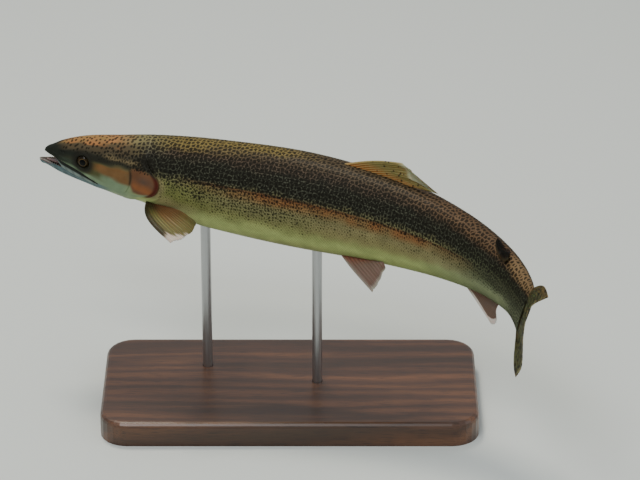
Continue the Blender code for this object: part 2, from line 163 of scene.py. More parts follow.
def posed(points):
    # fish space to metres in the frame
    p = np.asarray(points, float)
    s, l, z = p[..., 0], p[..., 1], p[..., 2]
    twist = math.radians(pose["tailTwist"]) * ramp(s, pose["twistFrom"], form["tailEnd"])
    l, z = turned(l, z, twist)
    turn = heading(s)
    x = np.interp(s, spineAt, spineX) - l * np.sin(turn)
    y = np.interp(s, spineAt, spineY) - l * np.cos(turn)
    x, z = turned(x, z, -math.radians(pose["pitch"]))
    return stack(x, y, z) * forkLength + np.array(pose["snoutAt"])


def tone(code):
    # a colour as seen, written in hex, to the shader's linear numbers
    seen = np.array([int(code[i:i + 2], 16) / 255 for i in (0, 2, 4)])
    return np.where(seen <= 0.04045, seen / 12.92, ((seen + 0.055) / 1.055) ** 2.4)


def newObject(name, data):
    obj = bpy.data.objects.new(name, data)
    bpy.context.scene.collection.objects.link(obj)
    return obj


def addPiece(name, mesh, material, replaces=()):
    mesh.shade_smooth()
    mesh.materials.append(material)
    obj = newObject(name, mesh)
    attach(obj, "root")
    if replaces:
        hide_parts(*replaces)
    print(name + ":", len(mesh.polygons), "faces")


def newMesh(name, bm):
    mesh = bpy.data.meshes.new(name)
    bm.to_mesh(mesh)
    bm.free()
    return mesh


weldWithin = 1e-7
attributeKinds = {"tone": ("FLOAT_COLOR", "color"), "plate": ("FLOAT", "value")}


def dressMesh(mesh, points, data, uv):
    # places, attributes and the bake map of a mesh whose vertices come in the order of the points
    mesh.vertices.foreach_set("co", points.reshape(-1, 3).ravel())
    corners = np.empty(len(mesh.loops), dtype=np.int32)
    mesh.loops.foreach_get("vertex_index", corners)
    for name, values in data.items():
        kind, key = attributeKinds.get(name, ("FLOAT_VECTOR", "vector"))
        values = np.asarray(values, dtype=np.float32).reshape(len(mesh.vertices), -1)[corners]
        if name == "tone":
            values = np.concatenate([values, np.ones((len(values), 1), dtype=np.float32)], 1)
        mesh.attributes.new(name, kind, "CORNER").data.foreach_set(key, values.ravel())
    if uv is not None:
        uv = np.asarray(uv, dtype=np.float32).reshape(-1, 2)[corners]
        mesh.uv_layers.new(name="OFBake").data.foreach_set("uv", uv.ravel())
    mesh.update()


def closeMesh(mesh):
    # seams and poles are welded, ends are filled, and the faces turned outwards
    bm = bmesh.new()
    bm.from_mesh(mesh)
    bmesh.ops.remove_doubles(bm, verts=bm.verts, dist=weldWithin)
    rims = [edge for edge in bm.edges if edge.is_boundary]
    bmesh.ops.holes_fill(bm, edges=rims, sides=0)
    bmesh.ops.recalc_face_normals(bm, faces=bm.faces)
    bm.to_mesh(mesh)
    bm.free()


def layPiece(name, points, material, replaces, data, uv):
    # A closed piece from rows by columns of places in fish space. Rows run along the piece and
    # columns round it, and the last column lies on the first.
    rows, columns = points.shape[:2]
    bm = bmesh.new()
    bmesh.ops.create_grid(bm, x_segments=columns - 1, y_segments=rows - 1, size=1.0)
    mesh = newMesh(name, bm)
    dressMesh(mesh, posed(points), data, uv)
    closeMesh(mesh)
    addPiece(name, mesh, material, replaces)


def shares(rows, columns):
    # how far along and how far round each place of a grid is, from 0 to 1
    along, around = np.linspace(0, 1, rows)[:, None], np.linspace(0, 1, columns)[None, :]
    return np.broadcast_arrays(along, around)


def copiesOf(name, bm, count):
    # a mesh of many copies of one small shape, all in the same place
    holder = newObject(name + "Copies", newMesh(name + "Seed", bm))
    array = holder.modifiers.new("copies", "ARRAY")
    array.count = count
    array.use_relative_offset = False
    mesh = bpy.data.meshes.new_from_object(holder.evaluated_get(bpy.context.evaluated_depsgraph_get()))
    mesh.name = name
    bpy.data.meshes.remove(holder.data)      # the holder goes with it
    return mesh


def newMaterial(name):
    material = bpy.data.materials.new(name)
    material.use_nodes = True
    return material, material.node_tree


def setShader(material, **inputs):
    # what the shader is given, by its labels with their spaces left out
    for socket in material.node_tree.nodes["Principled BSDF"].inputs:
        value = inputs.get(socket.name.replace(" ", ""))
        if isinstance(value, bpy.types.NodeSocket):
            material.node_tree.links.new(value, socket)
        elif value is not None:
            socket.default_value = value
    return material


def addNode(tree, kind, inputs=None, **settings):
    node = tree.nodes.new(kind)
    for key, value in settings.items():
        setattr(node, key, value)
    for key, value in (inputs or {}).items():
        if isinstance(value, bpy.types.NodeSocket):
            tree.links.new(value, node.inputs[key])
        else:
            node.inputs[key].default_value = value
    return node


def readAttribute(tree, name, output="Vector"):
    return addNode(tree, "ShaderNodeAttribute", attribute_name=name).outputs[output]


def parts(tree, vector):
    return addNode(tree, "ShaderNodeSeparateXYZ", {0: vector}).outputs


def onObject(tree, scale=(1, 1, 1), start=(0, 0, 0)):
    place = addNode(tree, "ShaderNodeTexCoord").outputs["Object"]
    inputs = {"Vector": place, "Scale": scale, "Location": start}
    return addNode(tree, "ShaderNodeMapping", inputs).outputs[0]


def noise(tree, place, scale, detail, output="Fac", distortion=0.0):
    inputs = {"Vector": place, "Scale": scale, "Detail": detail, "Distortion": distortion}
    return addNode(tree, "ShaderNodeTexNoise", inputs).outputs[output]


def wave(tree, place, scale, distortion, detail, **settings):
    inputs = {"Vector": place, "Scale": scale, "Distortion": distortion, "Detail": detail}
    return addNode(tree, "ShaderNodeTexWave", inputs, **settings)


def cells(tree, place, scale, scatter, **settings):
    # the distance from the middle or the edge of each cell
    inputs = {"Vector": place, "Scale": scale, "Randomness": scatter}
    return addNode(tree, "ShaderNodeTexVoronoi", inputs, **settings).outputs["Distance"]


def calc(tree, operation, a, b=0.0, c=0.0):
    return addNode(tree, "ShaderNodeMath", {0: a, 1: b, 2: c}, operation=operation).outputs[0]


def calcVector(tree, operation, a, b):
    return addNode(tree, "ShaderNodeVectorMath", {0: a, 1: b}, operation=operation).outputs[0]


def step(tree, value, low, high):
    inputs = {"Value": value, "From Min": low, "From Max": high}
    return addNode(tree, "ShaderNodeMapRange", inputs, interpolation_type="SMOOTHSTEP").outputs[0]


def rgba(code):
    return (*tone(code), 1.0)


def blendColour(tree, factor, a, b):
    # the second colour over the first. A colour is a socket or a code.
    a, b = (rgba(c) if isinstance(c, str) else c for c in (a, b))
    return addNode(tree, "ShaderNodeMix", {0: factor, 6: a, 7: b}, data_type="RGBA").outputs[2]


def brighten(tree, colour, value):
    return addNode(tree, "ShaderNodeHueSaturation", {"Color": colour, "Value": value}).outputs[0]


def bumpOf(tree, height, strength, distance):
    inputs = {"Height": height, "Strength": strength, "Distance": distance}
    return addNode(tree, "ShaderNodeBump", inputs).outputs[0]


view = {
    "elevation": 27.35, "distance": 2.6, "aim": (0.024, 0.062, 0.1147),
    "lens": 181.07, "sensor": 36.0, "clip": (0.05, 50),
}


def setCamera():
    lens = bpy.data.cameras.new("camera")
    lens.lens, lens.sensor_width = view["lens"], view["sensor"]
    lens.clip_start, lens.clip_end = view["clip"]
    camera = newObject("camera", lens)
    tilt = math.radians(view["elevation"])
    back = Vector((0, -math.cos(tilt), math.sin(tilt)))
    camera.location = Vector(view["aim"]) + back * view["distance"]
    camera.rotation_euler = (-back).to_track_quat("-Z", "Y").to_euler()
    bpy.context.scene.camera = camera


lights = {
    # place, size, watts and colour
    "key": ((-0.35, 0.55, 1.90), (0.40, 0.40), 19.0, "fff6e6"),
    "strip": ((-0.50, -0.85, 1.95), (0.80, 0.30), 8.0, "fffaf0"),
    "fill": ((-0.5, -1.50, 2.00), (0.9, 0.42), 13.0, "f4f8ff"),
    "side": ((1.6, -0.5, 0.9), (1.2, 1.2), 5.0, "ffffff"),
}
studio = {
    "lightsAim": (0, 0, 0.15), "air": (0.86, 0.89, 0.92, 1), "airStrength": 0.55,
    "paper": "d6dcd8", "floor": 6.0,
}


def setLights():
    for name, (place, size, power, colour) in lights.items():
        lamp = bpy.data.lights.new(name, "AREA")
        lamp.shape = "RECTANGLE"
        lamp.size, lamp.size_y = size
        lamp.energy, lamp.color = power, tone(colour)
        obj = newObject(name, lamp)
        obj.location = place
        toAim = Vector(studio["lightsAim"]) - Vector(place)
        obj.rotation_euler = toAim.to_track_quat("-Z", "Y").to_euler()
    world = bpy.data.worlds.new("studio")
    world.use_nodes = True
    air = world.node_tree.nodes["Background"]
    air.inputs[0].default_value = studio["air"]
    air.inputs[1].default_value = studio["airStrength"]
    bpy.context.scene.world = world


def layFloor():
    bm = bmesh.new()
    bmesh.ops.create_grid(bm, x_segments=1, y_segments=1, size=studio["floor"])
    floor = newObject("floor", newMesh("floor", bm))
    material, _ = newMaterial("palePaper")
    floor.data.materials.append(setShader(material, BaseColor=rgba(studio["paper"]), Roughness=0.85))


paint = {
    "belly": "b1bc76", "paleRear": "8e9770", "lowFlank": "83844f", "olive": "7b7750",
    "darkFlank": "45473a", "shoulder": "4e4235", "backTan": "80703f", "rearBack": "66503a",
    "tailTan": "8a7250", "darkRear": "4b503a", "rust": "8a5630", "darkRed": "53210f",
    "bright": "757a40", "pinkPatch": "90825c", "snout": "1d211a", "gold": "98683e",
    "brow": "4c4230", "nape": "62634a", "eyeBand": "201f18", "cheek": "72502e",
    "cheekFront": "4a4a2b", "cheekLow": "76896a", "cover": "66452e", "coverGrey": "4c4038",
    "coverLow": "8c552e", "rim": "4a140b", "throat": "9ca884", "collar": "8a8058",
    "streak": "77684a", "jaw": "5a7072", "jawDark": "20272a", "boneGrey": "76837c",
    "lipRed": "5e2a28", "lipPale": "a4a89c", "mouth": "4a3f3e", "spot": "15130b", "speck": "191811",
}
marks = {
    "spots": 300.0, "specks": 440.0, "headSpots": 300.0,                  # to the metre
    "sway": 420.0, "rough": 520.0, "cloud": 90.0, "grain": 1500.0,
    "warp": 0.0010,                                                       # how far the spots are moved
}
roundBody = {
    # by the angle round the body: the colour, and the shares of the skin that two kinds of spots cover
    "colour": ((-38, "belly"), (-18, "lowFlank"), (-4, "olive"), (9, "olive"), (22, "darkFlank"),
               (39, "darkFlank"), (54, "shoulder"), (69, "backTan")),
    "spots": ((-24, 0), (-8, .10), (10, .26), (24, .55), (38, .70), (48, .68), (60, .56), (72, .46),
              (90, .40)),
    "specks": ((-38, 0), (-26, .05), (-16, .16), (-6, .31), (8, .40), (20, .55), (34, .50), (50, .10),
               (70, 0)),
}
touches = {
    # Each is a colour, its strength, and where it lies by two measures, which are the station and the
    # angle. A pair of numbers is where the colour begins and where it is full.
    "body": (
        ("olive", .50, ((.33, .38), (.53, .45)), ((-27, -13), (5, -9))),
        ("bright", .50, ((.205, .215), (.34, .24)), ((-26, -14), (16, 4))),
        ("pinkPatch", .70, ((.19, .21), (.29, .22)), ((-59, -45), (-13, -27))),
        ("pinkPatch", .35, ((.30, .40), (.56, .46)), ((-40, -60),)),
        ("shoulder", .50, ((.255, .285), (.42, .36)), ((42, 54), (83, 71))),
        ("rearBack", 1.0, ((.56, .70),), ((44, 62),)),
        ("darkFlank", .80, ((.66, .76),), ((8, 24), (52, 36))),
        ("paleRear", 1.0, ((.60, .80),), ((-4, -20),)),
        ("darkRear", .90, ((.69, .80),), ((-33, -9), (46, 22))),
        ("darkRear", .35, ((.64, .72),), ((-12, 0), (20, 8))),
        # a pale tan patch on the top of the tail stock: partly its own colour and partly a painted
        # highlight
        ("tailTan", .75, ((.815, .855),), ((40, 60),)),
        ("pinkPatch", .50, ((.42, .52), (.80, .70)), ((-33, -19), (3, -11))),
        ("darkRear", .70, ((.855, .900),), ((6, -4),)),
    ),
    "crown": (
        ("backTan", 1.0, ((.190, .140),), ((36, 52),)),
        ("nape", .55, ((.093, .143), (.230, .180)), ((40, 56),)),
        ("brow", 1.0, ((.190, .140),), ((19, 41), (75, 53))),
    ),
    "cheek": (
        ("cheekLow", 1.0, ((.200, .180), (.190, .140)), ((9, 0),)),
        ("throat", .70, ((.190, .140),), ((-44, -64),)),
        ("cheekFront", 1.0, ((.059, .081), (.123, .101)), ((-27, -13), (20, 6))),
    ),
    "snout": (("snout", .90, ((.092, .064),), ((-20, -8), (34, 22))),),
    # here the first measure is the distance behind the gill cover's edge
    "gillEdge": (
        ("collar", .80, ((-.001, .001), (.016, .003)), ((-40, -28), (16, 4))),
        ("rim", .92, ((-.0095, -.0035), (.003, 0)), ((-36, -28), (13, 5))),
        ("eyeBand", .85, ((-.0095, -.0035), (.003, 0)), ((1, 11), (41, 31))),
        ("eyeBand", .80, ((.001, .003), (.016, .004)), ((3, 17), (49, 35))),
    ),
}
rippleShadeBands = {
    # painted shade of water ripples, as dark stripes across the jaw: the station and the width of each
    "skin": ((0.012, 0.003), (0.026, 0.0030), (0.041, 0.0040), (0.056, 0.0030), (0.074, 0.003)),
    "bone": ((0.034, 0.0022), (0.043, 0.0022), (0.054, 0.0022), (0.068, 0.0022), (0.083, 0.0022)),
}


def blotch(s, side, size, seed):
    # smooth unevenness between about -1 and 1, in patches about size metres across
    total = 0.0
    for k in range(6):
        turn = seed * 1.9 + k * 2.4
        run = s * forkLength * math.cos(turn) + side * 0.00062 * math.sin(turn)
        total = total + np.sin(run * math.pi * (0.8 + 0.22 * k) / size + seed * 3.1 + k * k)
    return total / 3.0


def preopercle(z):
    # where the cheek's free rear edge runs, by height
    return 0.1585 - ((z + 0.002) / 0.030) ** 2 * 0.010


def gillEdge(side):
    # where the gill cover ends, by the angle round the body
    angles = (-90, -72, -58, -45, -33, -22, -12, -3, 5, 13, 22, 32, 42, 90)
    stations = (.126, .138, .151, .167, .183, .1975, .2045, .2065, .204, .196, .1875, .1825, .1805, .180)
    return smoothLine(angles, stations, side)


def lateralLine(s):
    return smoothLine((0.20, 0.30, 0.45, 0.55, 0.65, 0.75, 0.93), (16, 15, 13, 10.5, 8, 5, 2), s)


def layer(colour, name, amount):
    # a colour from the paint, or a code, over what is there
    amount = np.clip(amount, 0, 1)[..., None]
    colour[:] = colour * (1 - amount) + tone(paint.get(name, name)) * amount


def touchUp(colour, group, first, second):
    for name, strength, along, across in touches[group]:
        layer(colour, name, field(first, along) * field(second, across) * strength)


def shadeStripes(colour, s, z, kind, slant, strength):
    # dark stripes of painted ripple shade
    for at, wide in rippleShadeBands[kind]:
        layer(colour, "jawDark", bell(s - at + slant * (z + 0.015), wide) * strength)


def behindCover(s, side):
    return bell(s - 0.232, 0.022) * bell(side + 8, 12.0)


def paintBody(s, side):
    angles, names = zip(*roundBody["colour"])
    colour = stack(*(np.interp(side, angles, c) for c in zip(*(tone(paint[name]) for name in names))))
    shoulder = ramp(s - 0.07 * ramp(side, 64, 78), 0.30, 0.40) * ramp(side, 40, 54)
    layer(colour, "shoulder", shoulder * 0.88)
    touchUp(colour, "body", s, side)
    layer(colour, "bright", behindCover(s, side) * 0.55)
    return colour


def paintHead(colour, s, side, uneven):
    touchUp(colour, "crown", s, side)
    gold = ramp(s, 0.165, 0.115) * ramp(side + 7 * uneven, 50, 68)
    layer(colour, "gold", gold * (0.68 + 0.24 * uneven))
    top = 33 + 8 * ramp(s, 0.14, 0.19)
    layer(colour, "eyeBand", ramp(s, 0.205, 0.175) * band(side, 10, top, 18) * 0.92)
    layer(colour, "streak", bell(side - 27 + 90 * (s - 0.145), 4.0) * band(s, 0.112, 0.174, 0.02) * 0.7)
    touchUp(colour, "cheek", s, side)
    lower = -7 - 9 * ramp(s, 0.095, 0.155)
    patch = band(s, 0.094, 0.162, 0.022) * ramp(side - lower, -4, 5) * ramp(side, 14, 7)
    layer(colour, "cheek", patch * 0.95)
    plate = ramp(s - gillEdge(side), 0.001, -0.002)
    layer(colour, "cover", band(s, 0.1575, 0.222, 0.008) * band(side, -30, 14, 8) * plate)
    grey = bell(s - 0.183, 0.013) * bell(side + 2, 8.0)
    layer(colour, "coverGrey", grey * plate * (0.55 + 0.35 * uneven))
    low = bell(side + 17 + 250 * (s - 0.185), 8.0)
    layer(colour, "coverLow", band(s, 0.162, 0.204, 0.016) * low * plate * 0.8)
    pale = bell(side + 33 - 300 * (s - 0.175), 3.4)
    layer(colour, "cheekLow", band(s, 0.155, 0.196, 0.02) * pale * 0.85)


def paintEdges(colour, s, z, side, uneven):
    layer(colour, "eyeBand", bell(s - preopercle(z), 0.0021) * band(side, -14, 12, 9) * 0.8)
    touchUp(colour, "gillEdge", s - gillEdge(side), side)
    layer(colour, "snout", ramp(s - 0.004 * uneven, 0.046, 0.020) * ramp(side, -30, -14))
    touchUp(colour, "snout", s, side)
    layer(colour, "eyeBand", ramp(fromEye(s, z), 0.024, 0.014) * 0.9)


def dotShares(s, side, nearS, nearSide, uneven, rust):
    # how much of the skin the spots, the specks and the head's round spots cover
    spots, specks = (np.interp(nearSide, *zip(*roundBody[kind])) for kind in ("spots", "specks"))
    # fewer spots on the top of the tail stock, where the painted highlight lies
    tailHighlight = ramp(nearS, 0.815, 0.855) * ramp(nearSide, 40, 60)
    behind = 1 - 0.5 * behindCover(nearS, nearSide)
    belly = ramp(nearSide, 8, -2)
    spots = spots * (1 - 0.28 * tailHighlight) * behind * (1 - 0.95 * ramp(nearS, 0.38, 0.53) * belly)
    specks = specks * behind * (1 - 0.62 * field(nearS, ((0.38, 0.54), (0.78, 0.68))) * belly)
    specks = specks + 0.22 * ramp(nearS, 0.76, 0.84) * band(nearSide, -30, 30, 14)
    specks = np.maximum(specks, 0.42 * ramp(nearS, 0.86, 0.91) * ramp(nearSide, 20, -10))
    onHead = ramp(s, 0.178, 0.148)
    crown = ramp(nearS, 0.030, 0.042) * ramp(side, 26, 38)
    headSpots = onHead * crown * (0.27 + 0.10 * ramp(s, 0.09, 0.15) + 0.07 * uneven)
    besideEye = band(s, 0.10, 0.19, 0.04) * band(side, 18, 46, 12)
    behindEdge = 1 - ramp(s - gillEdge(side), 0.003, 0.011)
    clothed = 1 - behindEdge * ramp(side, 16, 8)
    spots = spots * (1 - 0.58 * rust) * (1 - onHead) * clothed
    specks = specks * (1 - 0.25 * rust) * (1 - onHead * (1 - 0.5 * besideEye)) * clothed
    return stack(spots, specks, headSpots)


def airbrush(s, z, side):
    # the base colour and the shares of the spots, at a station, height and angle. The body's marks
    # wander a little from where the touches put them.
    raised = side + 10 * ramp(s, 0.68, 0.82) * ramp(side, 8, 24) * ramp(side, 90, 70)
    uneven = blotch(s, raised, 0.011, 1.0)
    nearS = s + 0.0030 * blotch(s, side, 0.009, 2.0)
    nearSide = raised + 2.6 * uneven
    colour = paintBody(nearS, nearSide)
    under = lateralLine(s) - side
    rust = field(under, ((-5, 3), (18, 5))) * field(nearS, ((0.21, 0.41), (0.80, 0.60)))
    layer(colour, "rust", rust * (0.80 + 0.25 * blotch(nearS, nearSide, 0.016, 3.0)) * 0.85)
    layer(colour, "darkRed", bell(under, 2.0) * field(nearS, ((0.22, 0.30), (0.80, 0.70))) * 0.55)
    paintHead(colour, nearS, nearSide, uneven)
    paintEdges(colour, s, z, side, uneven)
    return colour, dotShares(s, side, nearS, nearSide, uneven, rust)


def paintData(s, z, side, arc, lowerHalf=0.0, inMouth=0.0):
    colour, growth = airbrush(np.maximum(s, 0.0), z, side)
    jaw = lowerHalf * ramp(s, 0.128, 0.098)
    layer(colour, "jaw", jaw)
    # painted ripple shade across the lower jaw
    shadeStripes(colour, s, z, "skin", 0.45, 0.35 * jaw)
    near = lipGap(s, z)
    layer(colour, "lipRed", jaw * ramp(s, 0.022, 0.010) * ramp(near, 0.0034, 0.0014) * 0.7)
    # a thin pale line along the front of the lower lip: a painted highlight on the wet lip
    layer(colour, "lipPale", jaw * ramp(s, 0.020, 0.008) * ramp(near, 0.0012, 0.0004) * 0.8)
    # the lining inside the mouth is painted dark: its own colour with painted shade inside the mouth
    layer(colour, "mouth", inMouth * np.ones_like(s))
    growth = growth * ((1 - jaw) * (1 - inMouth))[..., None]
    return {"tone": colour, "growth": growth, "skinChart": stack(s * forkLength, arc, 0)}


def dots(tree, chart, scale, share, rough, ragged, soft=0.05, apart=False):
    # dark spots that cover a share of the skin, round and apart or parted by a net of thin lines
    drawn = calcVector(tree, "MULTIPLY", chart, (1.0, 0.88, 1.0))
    feature = "F1" if apart else "DISTANCE_TO_EDGE"
    distance = cells(tree, drawn, scale, 0.72, voronoi_dimensions="2D", feature=feature)
    if apart:
        depth = calc(tree, "SUBTRACT", calc(tree, "SQRT", calc(tree, "DIVIDE", share, math.pi)), distance)
    else:
        line = calc(tree, "MULTIPLY_ADD", calc(tree, "SQRT", share), -0.5, 0.5)
        depth = calc(tree, "SUBTRACT", distance, line)
    uneven = calc(tree, "MULTIPLY", calc(tree, "SUBTRACT", rough, 0.5), ragged)
    inked = step(tree, calc(tree, "ADD", depth, uneven), -soft, soft)
    return calc(tree, "MULTIPLY", inked, step(tree, share, 0.01, 0.06))


def skinPaint(name, scaleLight):
    material, tree = newMaterial(name)
    chart = readAttribute(tree, "skinChart")
    growth = parts(tree, readAttribute(tree, "growth"))
    sway = calcVector(tree, "SUBTRACT", noise(tree, chart, marks["sway"], 2.0, "Color"), (0.5, 0.5, 0.5))
    moved = calcVector(tree, "ADD", chart, calcVector(tree, "MULTIPLY", sway, (marks["warp"],) * 3))
    rough = noise(tree, chart, marks["rough"], 2.0)
    spots = dots(tree, moved, marks["spots"], growth[0], rough, 0.22)
    specks = dots(tree, moved, marks["specks"], growth[1], rough, 0.30, soft=0.08)
    headSpots = dots(tree, moved, marks["headSpots"], growth[2], rough, 0.16, apart=True)
    cloud = calc(tree, "MULTIPLY_ADD", noise(tree, chart, marks["cloud"], 5.0), 0.8, 0.60)
    colour = brighten(tree, readAttribute(tree, "tone", "Color"), cloud)
    for share, strength, ink in ((specks, 0.80, "speck"), (spots, 0.88, "spot"), (headSpots, 0.85, "spot")):
        colour = blendColour(tree, calc(tree, "MULTIPLY", share, strength), colour, paint[ink])
    if scaleLight:
        # painted light on each scale: painted shade at its root, under the scale before it, and a painted
        # highlight towards its free edge
        along = step(tree, readAttribute(tree, "plate", "Fac"), 0.10, 0.95)
        colour = brighten(tree, colour, calc(tree, "MULTIPLY_ADD", along, 0.55, 0.62))
    grain = noise(tree, chart, marks["grain"], 2.0)
    return setShader(material, BaseColor=colour, Roughness=calc(tree, "MULTIPLY_ADD", grain, 0.25, 0.40),
                     Normal=bumpOf(tree, grain, 0.25, 0.0002), SpecularIORLevel=0.11,
                     CoatWeight=0.02, CoatRoughness=0.18)


eye = {
    "at": (0.0738, 0.0198, 0.0020), "radius": 0.0118, "bulge": 0.86, "dome": 0.05,
    "socket": 0.0116, "rim": 0.0138, "rings": 30, "spokes": 41,
    # shares of the radius: where the pupil ends, the gold ring's two edges, where the dark rim begins
    "pupilEdge": (0.46, 0.43), "ringEdges": ((0.45, 0.48), (0.56, 0.51)), "rimEdge": (0.86, 0.97),
    "iris": ("17120b", "40321b"), "irisShade": "18130c", "ring": "57462a",
    "pupil": "030303", "darkRim": "0d0c09",
}


def fromEye(s, z):
    return np.hypot(s - eye["at"][0], z - eye["at"][2])


def eyePaint():
    material, tree = newMaterial("eyeGlaze")
    chart = readAttribute(tree, "eyeChart")
    along, up, _ = parts(tree, chart)
    squares = calc(tree, "ADD", calc(tree, "MULTIPLY", along, along), calc(tree, "MULTIPLY", up, up))
    reach = calc(tree, "SQRT", squares)
    inRing = [step(tree, reach, *edge) for edge in eye["ringEdges"]]
    colour = blendColour(tree, step(tree, noise(tree, chart, 9.0, 4.0), 0.40, 0.66), *eye["iris"])
    for amount, code in (
            (step(tree, calc(tree, "ABSOLUTE", up), 0.35, 0.75), eye["irisShade"]),
            (calc(tree, "MULTIPLY", *inRing), eye["ring"]),
            (step(tree, reach, *eye["pupilEdge"]), eye["pupil"]),
            (step(tree, reach, *eye["rimEdge"]), eye["darkRim"])):
        colour = blendColour(tree, amount, colour, code)
    return setShader(material, BaseColor=colour, Roughness=0.35, SpecularIORLevel=0.02,
                     CoatWeight=0.20, CoatRoughness=0.03)


def makeEye(hand, sign, material):
    # a ball whose poles point out of the head, with its pupil a low dome
    t, turn = shares(eye["rings"], eye["spokes"])
    along, up = np.cos(2 * math.pi * turn), np.sin(2 * math.pi * turn)
    out, reach = np.cos(math.pi * t), arch(t)
    chart = stack(reach * along, reach * up * np.sign(out), out)
    dome = out * (1 + eye["dome"] * bell(math.pi * t, 0.42))
    middleS, middleL, middleZ = eye["at"]
    reach = reach * eye["radius"]
    l = sign * (middleL + eye["radius"] * eye["bulge"] * dome)
    points = stack(middleS + reach * along, l, middleZ + reach * up)
    uv = 0.5 + 0.45 * stack(t * along, t * up)
    layPiece("eyeBall_" + hand, points, material, ["eye_" + hand], {"eyeChart": chart}, uv)


skin = {
    "columns": 184, "bodyRings": 120, "neckRings": 12, "headRings": 180, "mouthRings": 14,
    "under": 0.0006,            # how far the skin lies below the tips of the scales
    "nose": 0.002,              # the form is read no nearer the snout's tip than this
    "tipLength": 0.0085,        # the rounded ends of the snout and the chin
    "neck": 0.225,
    "overhang": 0.0022,         # of the gill cover over the body
    # the gill cover's free edge, from under it to its outside: how far behind the edge and how far out
    "fold": ((.0022, 0), (-.0015, -.0012), (-.0050, -.0030), (-.0048, -.0016), (-.0010, -.0004),
             (.0008, .0002), (.0012, .0010), (.0004, .0017), (-.0014, .0019)),
    # how free that edge is, by the angle round the body
    "lift": ((-90, .35), (-70, .7), (-50, 1), (18, 1), (30, .55), (40, 0), (90, 0)),
    "nostrils": ((0.0335, 0.0085), (0.0385, 0.0092)),
    # how far out they reach, where along the fish and how high they are, and how long and how tall
    "swellings": {
        "brow": (0.0010, 0.066, 0.0200, 0.018, 0.0055), "hollow": (-0.0006, 0.096, 0.012, 0.010, 0.006),
        "cheek": (0.0007, 0.118, -0.016, 0.02, 0.014),
    },
    "replaces": ["head", "lower_jaw", "gill_cover_left", "gill_cover_right",
                 "trunk_front", "trunk_rear", "tail"],
}
girth = {"stations": 100, "steps": 72}   # how finely the distance round the body is measured


def lipHeight(s):
    return mouth["lipStart"] - mouth["lipSlope"] * s - mouth["lipCurve"] * s * s


def lipGap(s, z):
    # how far a point of the closed head's side is from the line of the lips
    corner = mouth["corner"]
    beside = np.abs(z - lipHeight(np.maximum(s, 0)))
    return np.where(s < corner, beside, np.hypot(s - corner, z - lipHeight(corner)))


def lipAngle(s):
    share = np.minimum(-lipHeight(s) / profile("belly", s), 0.999)
    return -np.degrees(np.arcsin(share ** (1 / fullness(s))))


def lipStation(side):
    # where each line of the skin meets the lips, whether it is above the mouth, and how far round
    # from the middle of the head it is
    corner = lipAngle(mouth["corner"])
    upper = side >= corner
    k = np.where(upper, (90 - side) / (90 - corner), (side + 90) / (corner + 90))
    tip = np.where(upper, 0.0, mouth["jawAhead"])
    return tip + (mouth["corner"] - tip) * k ** mouth["lipPower"], upper, k, tip


def sideAt(side, s, upper, tip):
    # ahead of the mouth's corner the lines crowd round to end on the lips
    corner = lipAngle(mouth["corner"])
    pole = np.where(upper, 90.0, -90.0)
    share = np.clip((s - tip) / (mouth["corner"] - tip), 0, 1) ** (1 / mouth["lipPower"])
    gap = mix(pole, corner, share) - pole
    atPole = np.abs(gap) < 1e-6
    place = np.where(atPole, 1.0, (side - pole) / np.where(atPole, 1.0, gap))
    crowded = mix(pole, lipAngle(np.maximum(s, 0.0)), np.minimum(place, 1.0))
    return np.where(s < mouth["corner"], crowded, side)


def roundTip(s, l, z, tip):
    # the snout and the chin close in a dome ahead of the lips
    reach = np.clip((s - tip) / skin["tipLength"], 0, 1)
    full = np.sqrt(1 - (1 - reach) ** 2) ** 0.8
    lip = lipHeight(np.maximum(s, 0))
    return s, l * full, lip + (z - lip) * full


def jawShare(k):
    # how much of the jaw's turn a line under the mouth takes
    return ramp(k, 1.0, 0.72)


def openJaw(s, l, z, share):
    hingeS, hingeZ = mouth["joint"]
    turn = math.radians(mouth["gape"]) * share * ramp(hingeS - s, 0, 0.035)
    ahead, up = turned(s - hingeS, z - hingeZ, turn)
    return hingeS + ahead, l, hingeZ + up


def headRelief(s, side, z):
    # how far the head's skin stands out from its plain form
    away = fromEye(s, z)
    out = -0.0085 * ramp(away / eye["socket"], 1.02, 0.80) + 0.0007 * bell(away - eye["rim"], 0.0016)
    for height, atS, atZ, long, tall in skin["swellings"].values():
        out += height * bell(s - atS, long) * bell(z - atZ, tall)
    for at in skin["nostrils"]:
        hole = np.hypot(s - at[0], z - at[1])
        out += -0.0022 * bell(hole, 0.0012) + 0.0005 * bell(hole - 0.0021, 0.0007)
    behind = s - preopercle(z)
    crease = 0.0008 * field(behind, ((-0.016, -0.002), (0.0004, -0.0008)))
    out += band(z, -0.034, 0.026, 0.016) * (crease - 0.0006 * bell(behind - 0.0014, 0.0011))
    seam = -0.0300 + (s - 0.160) * 0.42                                    # lower edge of the gill plate
    out -= 0.0005 * bell(z - seam, 0.0009) * band(s, 0.160, 0.199, 0.008)
    out += 0.0012 * ramp(s, 0.155, 0.185) * band(side, -44, 24, 12)
    rays = np.sin((side + 0.30 * (s - 0.13) * 1000) * math.radians(60))    # under the throat
    out += 0.00035 * rays * band(side, -86, -52, 10) * band(s, 0.112, 0.165, 0.02)
    near = lipGap(s, z)
    lips = 0.0008 * bell(near - 0.0026, 0.0020) - 0.0006 * bell(near - 0.0066, 0.0018)
    lips -= 0.0010 * (1 - ease(near / 0.0016))
    return out + lips * ramp(s - mouth["corner"], 0.012, -0.008)


def skinLines():
    # the lines that run along the skin: up the left side from under the belly and down the right
    angle = np.linspace(-90, 270, skin["columns"] + 1)
    side = np.where(angle > 90, 180 - angle, angle)
    lip, upper, k, tip = lipStation(side)
    return SimpleNamespace(
        angle=angle, side=side, lip=lip, upper=upper, k=k, tip=tip, edge=gillEdge(side),
        hand=np.where((angle > 90) & (angle < 270), -1, 1), lift=smoothLine(*zip(*skin["lift"]), side))


